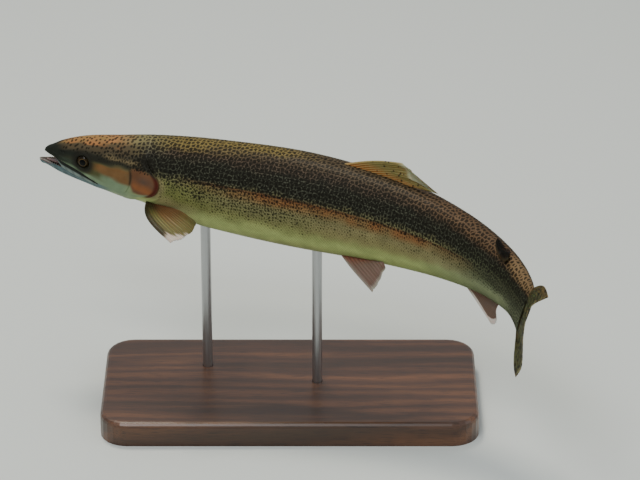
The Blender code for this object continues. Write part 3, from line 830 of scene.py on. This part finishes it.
def ring(line, s, side, grow):
    l, z = surface(np.maximum(s, skin["nose"]), side, grow)
    return stack(s, l * line.hand, z), side


def trunkRings(line):
    rings = []
    for start, end, count in ((form["tailEnd"] - 0.001, skin["neck"], skin["bodyRings"]),
                              (skin["neck"], line.edge + skin["overhang"], skin["neckRings"])):
        for i in range(count):
            rings.append(ring(line, mix(start, end, i / count), line.side, -skin["under"]))
    return rings


def gillFold(line):
    rings = []
    last = len(skin["fold"]) - 1
    for i, (behind, out) in enumerate(skin["fold"]):
        s = line.edge + mix(skin["overhang"] - 0.0005 * i, behind, line.lift)
        out = out - 0.0012 * (i == last)
        grow = mix(-skin["under"], 0.0, ease(i / last)) + out * line.lift
        rings.append(ring(line, s, line.side, grow))
    return rings


def headRings(line, start):
    rings = []
    count = skin["headRings"]
    for i in range(1, count + 1):
        s = mix(start, line.lip, (i / count) ** 0.86)
        side = sideAt(line.side, s, line.upper, line.tip)
        plain, _ = ring(line, s, side, 0.0)
        grow = headRelief(s, side, plain[:, 2]) * ease(i / 6.0 + 0.1)
        grow = grow + line.lift * 0.0007 * (1 - ease(i / 30.0))
        blunt = roundTip(*ring(line, s, side, grow)[0].T, line.tip)
        jaw = np.where(line.upper, 0.0, jawShare(line.k))
        rings.append((stack(*openJaw(*blunt, jaw)), side))
    return rings


def mouthRings(line, lips, side):
    # from the lips back into the throat
    rings = []
    rise = np.where(line.upper, 1.0, -1.0)
    for i in range(1, skin["mouthRings"] + 1):
        t = i / skin["mouthRings"]
        points = mix(lips, np.array(mouth["throat"]), 0.03 * t + 0.90 * ease(t * 0.98))
        swell = 0.0030 * arch(min(t * 1.1, 1.0))
        points[:, 2] += rise * (swell * (1 - line.k ** 2) + 0.0002 * (i == 1))
        rings.append((points, side))
    return rings


def makeSkin(material):
    line = skinLines()
    rings = trunkRings(line) + gillFold(line)
    rings += headRings(line, rings[-1][0][:, 0])
    rings += mouthRings(line, *rings[-1])
    points, side = (np.array(part) for part in zip(*rings))
    s = points[..., 0]
    under = ~line.upper[None, :] * np.ones_like(s)
    inMouth = np.zeros_like(s)
    inMouth[-skin["mouthRings"]:] = 1.0
    # the paint is laid on the closed head, so that an open jaw keeps its own colours
    closedZ = surface(np.maximum(s, skin["nose"]), side)[1]
    data = paintData(s, closedZ, side, roundDistance(s, side) * line.hand, under, inMouth)
    uv = stack(np.linspace(0.985, 0.015, len(rings))[:, None], (line.angle + 90) / 360 * 0.96 + 0.02)
    layPiece("troutSkin", points, material, skin["replaces"], data, uv)


def roundDistance(s, side):
    # metres round the body from the middle of the back, for spots that keep their size
    rows, columns = girth["stations"], girth["steps"]
    l, z = surface(np.linspace(0, 1, rows + 1)[:, None], np.linspace(-90, 90, columns + 1)[None, :])
    legs = np.hypot(np.diff(l, axis=1), np.diff(z, axis=1))
    table = np.concatenate([np.cumsum(legs[:, ::-1], axis=1)[:, ::-1], np.zeros((rows + 1, 1))], 1)
    row = np.clip(np.maximum(s, skin["nose"]) * rows, 0, rows - 0.001)
    column = np.clip((side + 90) / 180 * columns, 0, columns - 0.001)
    r, c = row.astype(int), column.astype(int)
    ahead = mix(table[r, c], table[r, c + 1], column - c)
    behind = mix(table[r + 1, c], table[r + 1, c + 1], column - c)
    return mix(ahead, behind, row - r) * forkLength


coat = {
    "along": 152, "around": 60, "from": 0.176, "to": 0.934, "parting": 0.46,
    "length": 1.75, "width": 1.22,      # of the spacing, so that they overlap
    "rootDepth": -0.0010, "tipHeight": 0.0003, "hollow": 0.00016,
    "uneven": 0.08, "lean": 0.3, "seed": 7, "patch": 0.003,
    # where the scales begin, by the angle round the body, and how far they take to grow to size
    "nape": ((-90, .165), (-60, .178), (-20, .2085), (10, .2095), (30, .204), (45, .190), (60, .184),
             (90, .180)),
    "growIn": 0.05, "smallest": 0.55,
}
hands = (("left", 1), ("right", -1))


def scalePlate(flip):
    # one scale: x from its root to its free edge, which is rounded, and y across
    bm = bmesh.new()
    bmesh.ops.create_grid(bm, x_segments=4, y_segments=3, size=1.0)
    for vert in bm.verts:
        x, y = (vert.co.x + 1) / 2, vert.co.y
        vert.co = (x * (1 - 0.28 * y * y), y * (1 - 0.30 * max(x - 0.55, 0) / 0.45), 0)
    if flip:
        bmesh.ops.reverse_faces(bm, faces=bm.faces)
    return bm


def scaleRows():
    # the angle of each row of scales round the body, evenly spaced, and the room it has
    angles = np.linspace(-90, 90, 721)
    l, z = surface(0.42, angles)
    run = np.concatenate([[0], np.cumsum(np.hypot(np.diff(l), np.diff(z)))])
    rowAngle = np.interp((np.arange(coat["around"]) + 0.5) / coat["around"] * run[-1], run, angles)
    return rowAngle, np.gradient(rowAngle)


def makeCoat(material):
    gap = (coat["to"] - coat["from"]) / coat["along"]
    rowAngle, rowWidth = scaleRows()
    odd = np.arange(coat["around"])[:, None] % 2
    roots = coat["from"] + gap * (np.arange(coat["along"])[None, :] + 0.5 * odd)
    nape = smoothLine(*zip(*coat["nape"]), rowAngle)[:, None]
    rng = np.random.default_rng(coat["seed"])
    halves = (("front", coat["from"], coat["parting"]), ("rear", coat["parting"], coat["to"]))
    for hand, sign in hands:
        for part, low, high in halves:
            row, column = np.nonzero((roots >= low) & (roots < high) & (roots > nape))
            root, side, width, start = (a[:, None] for a in (
                roots[row, column], rowAngle[row], rowWidth[row], nape[row, 0]))
            longer, lean, _ = rng.uniform(-1, 1, (3, len(root)))[..., None]
            plate = scalePlate(sign < 0)
            x, y, _ = np.array([vert.co for vert in plate.verts]).T[:, None]
            s = root + (x - 0.4) * gap * coat["length"] * (1 + coat["uneven"] * longer)
            s = np.minimum(s, form["tailEnd"] + 0.004)
            angle = side + y * width * 0.5 * coat["width"]
            overTop = np.where(angle > 90, -1, 1)
            angle = np.where(angle > 90, 180 - angle, angle)
            grow = mix(coat["rootDepth"], coat["tipHeight"] * (1 + coat["lean"] * lean), x ** 0.75)
            grow = grow * mix(coat["smallest"], 1.0, ease((root - start) / coat["growIn"]))
            l, z = surface(s, angle, grow - coat["hollow"] * y ** 2)
            # the colour of a scale is drawn a little towards that of its middle
            paintS, paintSide = mix(s.mean(1)[:, None], s, 0.7), mix(side, angle, 0.7)
            paintZ = surface(paintS, paintSide)[1]
            data = paintData(paintS, paintZ, paintSide, roundDistance(paintS, paintSide) * sign)
            # how far along its scale each point lies, for the painted shade and highlight
            data["plate"] = np.broadcast_to(x, s.shape)
            u = 0.985 - (form["tailEnd"] - root) / form["tailEnd"] * 0.36
            v = (side + 90) / 360 if sign > 0 else (270 - side) / 360
            uv = stack(u + (x - 0.5) * coat["patch"], v * 0.96 + 0.02 + y * coat["patch"] / 2)
            name = "scales_" + part + "_" + hand
            mesh = copiesOf(name, plate, len(root))
            dressMesh(mesh, posed(stack(s, l * sign * overTop, z)), data, uv)
            addPiece(name, mesh, material)


finLook = {
    # colours by the root, of the blade, at the free edge, and of the rays
    "dorsal": ("a0642e", "696233", "a8a988", "aea066"),
    # the adipose fin is near black: its own dark colour with painted shade
    "adipose": ("2c1e10", "0f0d09", "30291a", None),
    "anal": ("7c5c4c", "6a584a", "d9cfc4", "4a362c"),
    "caudal": ("403820", "474a2b", "8d8a66", "1e1d10"),
    "pectoral": ("5f4e2c", "6e6a38", "d2c4b4", "2a2613"),
    "pelvic": ("8c5644", "7a6558", "a9a698", "573d34"),
}
finMarks = {
    "pectoralRed": "774a2d", "pectoralFront": "1c1a10", "caudalTop": "65502e", "caudalTips": "6c6436",
    "rays": 0.66,                       # how strongly the rays show
    "spots": 270.0, "rough": 420.0,     # to the metre
    "grain": 9.0, "joints": 14.0,       # on the fin's own chart
}


def finPaint(name, spotty=0.0, shine=0.2):
    material, tree = newMaterial(name)
    chart = readAttribute(tree, "finChart")
    _, out, ray = parts(tree, chart)
    grain = noise(tree, chart, finMarks["grain"], 5.0)
    colour = readAttribute(tree, "tone", "Color")
    colour = brighten(tree, colour, calc(tree, "MULTIPLY_ADD", grain, 0.9, 0.55))
    if spotty:
        place = readAttribute(tree, "skinChart")
        rough = calc(tree, "SUBTRACT", noise(tree, place, finMarks["rough"], 2.0), 0.5)
        far = calc(tree, "MULTIPLY_ADD", rough, 0.6, cells(tree, place, finMarks["spots"], 1.0))
        near = step(tree, calc(tree, "SUBTRACT", spotty, far), -0.06, 0.06)
        colour = blendColour(tree, calc(tree, "MULTIPLY", near, 0.9), colour, paint["spot"])
    place = addNode(tree, "ShaderNodeCombineXYZ", {0: out}).outputs[0]
    joints = wave(tree, place, finMarks["joints"], 1.2, 2.0).outputs["Fac"]
    bump = bumpOf(tree, calc(tree, "MULTIPLY", joints, ray), 0.35, 0.0003)
    return setShader(material, BaseColor=colour, Roughness=0.48, Normal=bump, SpecularIORLevel=shine,
                     CoatWeight=shine * 0.2, CoatRoughness=0.2,
                     SubsurfaceWeight=0.12, SubsurfaceScale=0.003)


def rayPattern(u, v, rays, fork):
    # height of the rays over the web: each ray forks once and then again towards the edge
    x = u * rays
    away = x - np.floor(x) - 0.5
    first = 0.24 * ease((v - fork) / (1.05 - fork))
    second = 0.11 * ease((v - fork - 0.28) / (0.9 - fork))
    near = np.abs(np.abs(np.abs(away) - first) - second)
    width = mix(0.15, 0.065, ease(v * 1.2))
    return np.exp(-(near / width) ** 2)


def paleEdge(kind, u, v):
    # where each fin has the colour of its free edge: u is 0 at its front, v is 1 at the edge
    if kind == "dorsal":
        return np.maximum(ramp(v, 0.84, 0.99) * band(u, 0.05, 0.8, 0.2), ramp(v, 0.94, 1.0))
    if kind == "adipose":
        return ramp(v, 0.7, 1.0)
    if kind == "anal":
        front = ramp(u - 0.3 * ramp(v, 0.7, 1.0), 0.15, 0.08) * ramp(v, 0, 0.25)
        return np.maximum(front, ramp(v, 0.95, 1.0) * 0.4)
    if kind == "caudal":
        return ramp(v, 0.90, 1.0) * 0.8
    if kind == "pectoral":
        ragged = 0.55 * u ** 1.5 + 0.03 * np.sin(40 * u) + 0.02 * np.sin(93 * u)
        return ramp(v - ragged, 0.80, 0.89) * ramp(u, 0.62, 0.42)
    return np.maximum(ramp(v, 0.88, 1.0), ramp(u, 0.10, 0.02) * ramp(v, 0, 0.3) * 0.7)


def finColour(kind, u, v, ray):
    root, blade, edge, dark = finLook[kind]
    colour = np.ones((*u.shape, 3)) * tone(root)
    rooted = 0.42 + 0.35 * u if kind == "dorsal" else 0.45
    layer(colour, blade, ease(v / rooted))
    pale = paleEdge(kind, u, v)
    layer(colour, edge, pale)
    if kind == "pectoral":
        layer(colour, finMarks["pectoralRed"], ramp(u, 0.20, 0.40) * ramp(v, 0.95, 0.40) * 0.72)
        front = ramp(u, 0.22, 0.06) * (1 - pale) * 0.8
        foot = ramp(v, 0.42, 0.12) * ramp(u, 0.60, 0.35) * 0.75
        layer(colour, finMarks["pectoralFront"], np.maximum(front, foot))
    if kind == "caudal":
        layer(colour, finMarks["caudalTop"], ramp(u, 0.88, 0.96) * 0.6)
        layer(colour, finMarks["caudalTips"], ramp(v, 0.78, 0.98) * ramp(u, 0.55, 0.75) * 0.25)
    if dark:
        layer(colour, dark, finMarks["rays"] * ray * (1 - 0.6 * pale))
    return colour


def bothFaces(near, far):
    # a blade's two faces as one grid that goes round it
    return np.concatenate([near, far[:, ::-1], near[:, :1]], 1)


def layFin(name, kind, size, middle, across, material, replaces, rootHalf=None):
    rows, rays, slim = size.get("rows", 46), size["rays"], size["thickness"]
    columns = rays * size.get("perRay", 9) + 1
    v, u = shares(rows, columns)
    ray = np.ones_like(u)
    if kind != "adipose":
        ray = np.maximum(rayPattern(u, v, rays, size["fork"]), bell(u, 0.5 / rays) * 0.9)
    centre = middle(u, v * (1 - 0.018 * (1 - ray) * ramp(v, 0.8, 1.0)))
    half = mix(*slim, ease(v ** 0.6)) * (0.42 + 0.58 * ray) / 2
    half = half * np.clip(0.35 + 12 * np.minimum(u, 1 - u), 0, 1)
    if rootHalf:
        half = np.maximum(half, rootHalf(u, v))
    half = half * np.where(v > 0.999, 0.45, 1.0)
    through = across(u) * half[..., None]
    place = bothFaces(centre, centre)
    uu, vv, rr = bothFaces(u, u), bothFaces(v, v), bothFaces(ray, ray)
    data = {"tone": finColour(kind, uu, vv, rr), "finChart": stack(uu * rays, vv * 6, rr),
            "skinChart": place[..., [0, 2, 1]] * forkLength}
    width = np.concatenate([u * 0.46, 0.96 - u[:, ::-1] * 0.46, u[:, :1] + 0.96], 1)
    uv = stack(width + 0.02, vv * 0.94 + 0.03)
    layPiece(name, bothFaces(centre + through, centre - through), material, replaces, data, uv)


def smoothEdge(points, u):
    # a smooth line through the points of a fin's free edge
    p = np.array(points, float)
    place = np.clip(u, 0, 1) * (len(p) - 1)
    i = np.minimum(place.astype(int), len(p) - 2)
    t = (place - i)[..., None]
    a, b, c, d = p[np.maximum(i - 1, 0)], p[i], p[i + 1], p[np.minimum(i + 2, len(p) - 1)]
    return (2 * b + (c - a) * t + (2 * a - 5 * b + 4 * c - d) * t ** 2
            + (3 * b - a - 3 * c + d) * t ** 3) / 2


def sideways(u):
    return stack(0, 1, 0 * u)


medianFins = {
    # the edge is a line of places in fish space, from the front of the fin to its rear
    "dorsal": {
        "base": (0.490, 0.602), "rays": 13, "thickness": (0.0056, 0.0014), "fork": 0.62,
        "edge": ((.588, 0, .0995), (.603, 0, .0915), (.608, 0, .079), (.630, 0, .073), (.657, 0, .069)),
        "lift": 0.004, "ripple": (0.0022, 5.0),
    },
    "adipose": {
        "base": (0.787, 0.816), "rays": 4, "thickness": (0.0066, 0.0026),
        # the edge leans far over the left flank, so that the near-black fin also lies where its shadow
        # falls
        "edge": ((.792, .0082, .0474), (.807, .0165, .0412), (.825, .0196, .0345), (.8385, .0188, .0344),
                 (.841, .0155, .0386)),
        "lift": 0.0035, "ripple": (0.0, 1.0),
    },
    "anal": {
        "base": (0.724, 0.812), "rays": 12, "thickness": (0.0052, 0.0014), "fork": 0.35,
        "edge": ((.806, 0, -.088), (.821, 0, -.0795), (.817, 0, -.0685), (.816, 0, -.0575),
                 (.8158, 0, -.048)),
        "lift": -0.005, "ripple": (0.0012, 3.5),
    },
}


def makeMedianFins(materials):
    for kind, size in medianFins.items():
        def middle(u, v):
            s = mix(*size["base"], u)
            height = -profile("belly", s) + 0.0012 if kind == "anal" else profile("back", s) - 0.0012
            root = stack(s, 0, height)
            out = mix(root, smoothEdge(size["edge"], u), v[..., None])
            deep, waves = size["ripple"]
            out[..., 1] += deep * v ** 2 * np.sin(waves * math.pi * u)
            out[..., 2] += size["lift"] * arch(v) * (1.0 if kind == "adipose" else 1 - u)
            return out

        layFin(kind + "Blade", kind, size, middle, sideways, materials[kind], [kind + "_fin"])


tailFin = {
    # the lobes trail to the right of the blade's middle
    "edge": ((1.012, -.0017, -.0673), (1.01, -.0055, -.0475), (.985, .0025, -.014), (.973, .006, .005),
             (.975, .008, .0255), (.993, .006, .047), (1.0215, -.0034, .0765)),
    "rays": 26, "thickness": (0.0060, 0.0017), "fork": 0.25, "rows": 60, "perRay": 8,
    "start": 0.924, "ripple": 0.0012, "flare": 0.012,
}


def makeTailFin(material):
    tall = float(profile("back", form["tailEnd"])) * 0.97
    flesh = float(profile("breadth", form["tailEnd"])) * 0.96

    def middle(u, v):
        root = stack(tailFin["start"], 0, mix(-tall, tall, u))
        out = mix(root, smoothEdge(tailFin["edge"], u), v[..., None])
        out[..., 1] += tailFin["ripple"] * v * np.sin(2.6 * math.pi * u)
        side = 2 * u - 1
        out[..., 2] += tailFin["flare"] * arch(v) * side * np.abs(side)
        return out

    def rootHalf(u, v):
        oval = np.sqrt(1 - ((2 * u - 1) * 0.985) ** 2)
        return flesh * oval * (1 - ease(v * 1.5) ** 0.5)

    layFin("caudalBlade", "caudal", tailFin, middle, sideways, material, ["caudal_fin"], rootHalf)


pairedFins = {
    # Pairs are for the fin's front and rear, those of thickness for its root and free edge. Angles,
    # sweeps and dip are in degrees, other sizes are shares of the fork length.
    "pectoral": {
        "base": (0.182, 0.212), "angles": (-50, -45), "lengths": (0.105, 0.066), "sweeps": (40, 70),
        "dip": (17, 12), "bow": 0.018, "thickness": (0.0058, 0.0015), "rays": 14, "fork": 0.35,
    },
    "pelvic": {
        "base": (0.506, 0.576), "angles": (-64, -62), "lengths": (0.094, 0.016), "sweeps": (59, 62),
        "dip": (35, 21), "bow": 0.0065, "thickness": (0.0058, 0.0016), "rays": 10, "fork": 0.35,
    },
}


def makePairedFin(kind, hand, sign, material):
    size = pairedFins[kind]

    def middle(u, v):
        s = mix(*size["base"], u)
        rootL, rootZ = surface(s, mix(*size["angles"], u), -0.0012)
        sweep, fall = np.radians(mix(*size["sweeps"], u)), np.radians(mix(*size["dip"], u))
        reach = mix(*size["lengths"], u ** 0.9) * (1 + 0.10 * arch(u)) * v
        ripple = 0.006 * arch(v) * (0.3 + u) + 0.0012 * v * arch(6 * u)
        bow = size["bow"] * arch(v) * (1 - u) ** 1.5
        out = rootL + np.cos(sweep) * np.cos(fall) * reach + np.sin(fall) * ripple
        up = rootZ - np.cos(sweep) * np.sin(fall) * reach + np.cos(fall) * ripple
        return stack(s + np.sin(sweep) * reach - bow, out * sign, up)

    def across(u):
        fall = np.radians(mix(*size["dip"], u))
        return stack(0, sign * np.sin(fall), np.cos(fall))

    layFin(kind + "Blade_" + hand, kind, size, middle, across, material, [kind + "_fin_" + hand])


jawBone = {
    "from": 0.024, "to": 0.0995, "thick": 0.0030, "above": 0.0042, "below": 0.0012,
    "proud": 0.0002, "rings": 60, "spokes": 33,
}


def makeJawBone(hand, sign, material):
    # the bone hangs from the upper lip and closes the open mouth's side
    t, around = shares(jawBone["rings"], jawBone["spokes"])
    turn = 2 * math.pi * around
    s = mix(jawBone["from"], jawBone["to"], t)
    swell = arch(mix(0.03, 0.95, t)) ** 0.5
    ahead = mouth["joint"][0] - s
    gap = ahead * math.sin(math.radians(mouth["gape"])) * ramp(ahead, 0, 0.035)
    lip = lipHeight(s)
    high = lip + jawBone["above"] * mix(0.5, 1.0, t)
    low = lip - gap * ease(t / 0.20 + 0.08) - jawBone["below"]
    z = (high + low) / 2 + (high - low) / 2 * swell * np.sin(turn)
    share = np.minimum(np.abs(np.maximum(z, lip)) / profile("belly", s), 0.99)
    angle = np.arcsin(share ** (1 / fullness(s)))
    flank = profile("breadth", s) * np.cos(angle) ** fullness(s)
    curve = jawBone["thick"] / 2 * np.cos(turn) + 0.0006 + 0.0003 * np.sin(turn * 2 + 1)
    points = stack(s, sign * (flank + jawBone["proud"] + curve * swell), z)
    colour = np.ones(points.shape) * tone(paint["snout"])
    layer(colour, "boneGrey", ramp(np.sin(turn), 0.30, -0.10))
    # painted ripple shade across the bone
    shadeStripes(colour, s, z, "bone", 0.6, 0.4)
    layer(colour, "snout", bell(np.sin(turn) - 0.35, 0.22) * 0.8)
    data = {"tone": colour, "growth": 0 * points, "skinChart": stack(s, z, 0) * forkLength}
    uv = stack(t, around) * 0.9 + 0.05
    layPiece("jawBone_" + hand, points, material, ["maxilla_" + hand], data, uv)


def mouthPaint():
    material, tree = newMaterial("mouthShadedFlesh")
    mottle = noise(tree, onObject(tree), 400.0, 4.0)
    # the tongue is painted dark: its own colour with painted shade inside the mouth
    return setShader(material, BaseColor=blendColour(tree, mottle, "6f5350", "94786f"), Roughness=0.3,
                     Normal=bumpOf(tree, mottle, 0.4, 0.0004), CoatWeight=0.4)


def toothPaint():
    material, tree = newMaterial("toothIvory")
    mottle = noise(tree, onObject(tree), 700.0, 2.0)
    return setShader(material, BaseColor=blendColour(tree, mottle, "a89e80", "cfc7ab"), Roughness=0.25)


tongue = {
    "from": 0.004, "to": 0.064, "half": 0.0068, "tall": 0.0026, "floor": (-0.0168, -0.0224),
    "groove": 0.0009, "rings": 40, "spokes": 33,
}


def makeTongue(material):
    t, around = shares(tongue["rings"], tongue["spokes"])
    turn = 2 * math.pi * around
    swell = arch(mix(0.02, 0.62, t)) ** 0.6
    l = tongue["half"] * swell * np.cos(turn)
    groove = tongue["groove"] * bell(l, 0.0018) * np.maximum(np.sin(turn), 0)
    z = mix(*tongue["floor"], t) + tongue["tall"] * swell * np.sin(turn) - groove
    points = stack(mix(tongue["from"], tongue["to"], t), l, z)
    layPiece("tongueFlesh", points, material, ["tongue"], {}, stack(t, around))


teeth = {
    "count": 17, "tall": 0.0024, "wide": 0.00056, "lean": 0.28, "inward": 0.045,
    "from": 0.10, "run": 0.76,      # shares of the way from the middle of the lip to the mouth's corner
}


def toothRoot(k, upperRow):
    # the place beside the lip, a little way into the mouth
    corner = lipAngle(mouth["corner"])
    side = 90 - k * (90 - corner) if upperRow else -90 + k * (corner + 90)
    lip, upper, _, tip = lipStation(side)
    l, z = surface(np.maximum(lip, skin["nose"]), sideAt(side, lip, upper, tip))
    jaw = 0.0 if upperRow else jawShare(k)
    place = np.array(openJaw(*roundTip(lip, l, z, tip), jaw))
    return mix(place, np.array(mouth["throat"]), teeth["inward"])


def makeTeeth(material):
    bm = bmesh.new()
    bmesh.ops.create_cone(bm, cap_ends=True, segments=7, radius1=1.0, radius2=0.08, depth=1.0)
    bmesh.ops.translate(bm, verts=bm.verts, vec=(0, 0, 0.5))
    x, y, z = np.array([vert.co for vert in bm.verts]).T
    pegs = []
    for upperRow in (True, False):
        for _, sign in hands:
            for i in range(teeth["count"]):
                k = teeth["from"] + (i + 0.5) / teeth["count"] * teeth["run"]
                tall = z * teeth["tall"] * (1.0 if i % 2 else 0.8) * (1 - 0.45 * k)
                peg = stack(x * teeth["wide"] + teeth["lean"] * tall, y * teeth["wide"],
                            -tall if upperRow else tall)
                pegs.append((toothRoot(k, upperRow) + peg) * np.array([1, sign, 1]))
    mesh = copiesOf("teeth", bm, len(pegs))
    dressMesh(mesh, posed(pegs), {}, None)
    closeMesh(mesh)
    addPiece("teeth", mesh, material)


def walnut():
    material, tree = newMaterial("walnutVarnish")
    drawn = onObject(tree, (3.0, 26.0, 26.0), (0.3, 0.1, 0.7))
    drift = noise(tree, drawn, 1.4, 5.0, distortion=0.6)
    rings = wave(tree, drawn, 0.9, 9.0, 4.0, bands_direction="Y")
    rings.inputs["Detail Scale"].default_value = 1.3
    pore = noise(tree, onObject(tree, (60.0, 1500.0, 1500.0)), 1.0, 3.0)
    colour = blendColour(tree, rings.outputs["Fac"], "4a2d1b", "6b4429")
    colour = blendColour(tree, step(tree, drift, 0.35, 0.7), colour, "38210f")
    inPore = calc(tree, "MULTIPLY", step(tree, pore, 0.50, 0.36), 0.55)
    colour = blendColour(tree, inPore, colour, "1c0f08")
    return setShader(material, BaseColor=colour, Roughness=calc(tree, "MULTIPLY_ADD", pore, 0.22, 0.26),
                     Normal=bumpOf(tree, pore, 0.18, 0.0003), CoatWeight=0.35, CoatRoughness=0.22)


def brushedSteel():
    material, tree = newMaterial("brushedSteel")
    lines = noise(tree, onObject(tree, (2600.0, 2600.0, 30.0)), 1.0, 3.0)
    return setShader(material, BaseColor=blendColour(tree, lines, "9a9b9c", "c4c5c6"), Metallic=1.0,
                     Roughness=calc(tree, "MULTIPLY_ADD", lines, 0.2, 0.22),
                     Normal=bumpOf(tree, lines, 0.12, 0.0001))


def dressStand():
    wood, steel = walnut(), brushedSteel()
    for name, material in (("stand_base", wood), ("stand_rod_front", steel), ("stand_rod_rear", steel)):
        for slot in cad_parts[name].material_slots:
            slot.material = material


def main():
    setCamera()
    setLights()
    layFloor()
    print("stage set")
    makeSkin(skinPaint("skinVarnish", False))
    makeCoat(skinPaint("scaleVarnish", True))
    print("coat laid")
    eyes = eyePaint()
    bone = skinPaint("boneVarnish", False)
    for hand, sign in hands:
        makeEye(hand, sign, eyes)
        makeJawBone(hand, sign, bone)
    makeTongue(mouthPaint())
    makeTeeth(toothPaint())
    print("head dressed")
    makeMedianFins({"dorsal": finPaint("dorsalWeb", 0.20), "adipose": finPaint("adiposeShadedFlesh", 0.0, 0.04),
                    "anal": finPaint("analWeb")})
    makeTailFin(finPaint("tailWeb", 0.42, 0.12))
    webs = {"pectoral": finPaint("pectoralWeb"), "pelvic": finPaint("pelvicWeb")}
    for kind, web in webs.items():
        for hand, sign in hands:
            makePairedFin(kind, hand, sign, web)
    print("fins laid")
    dressStand()


main()
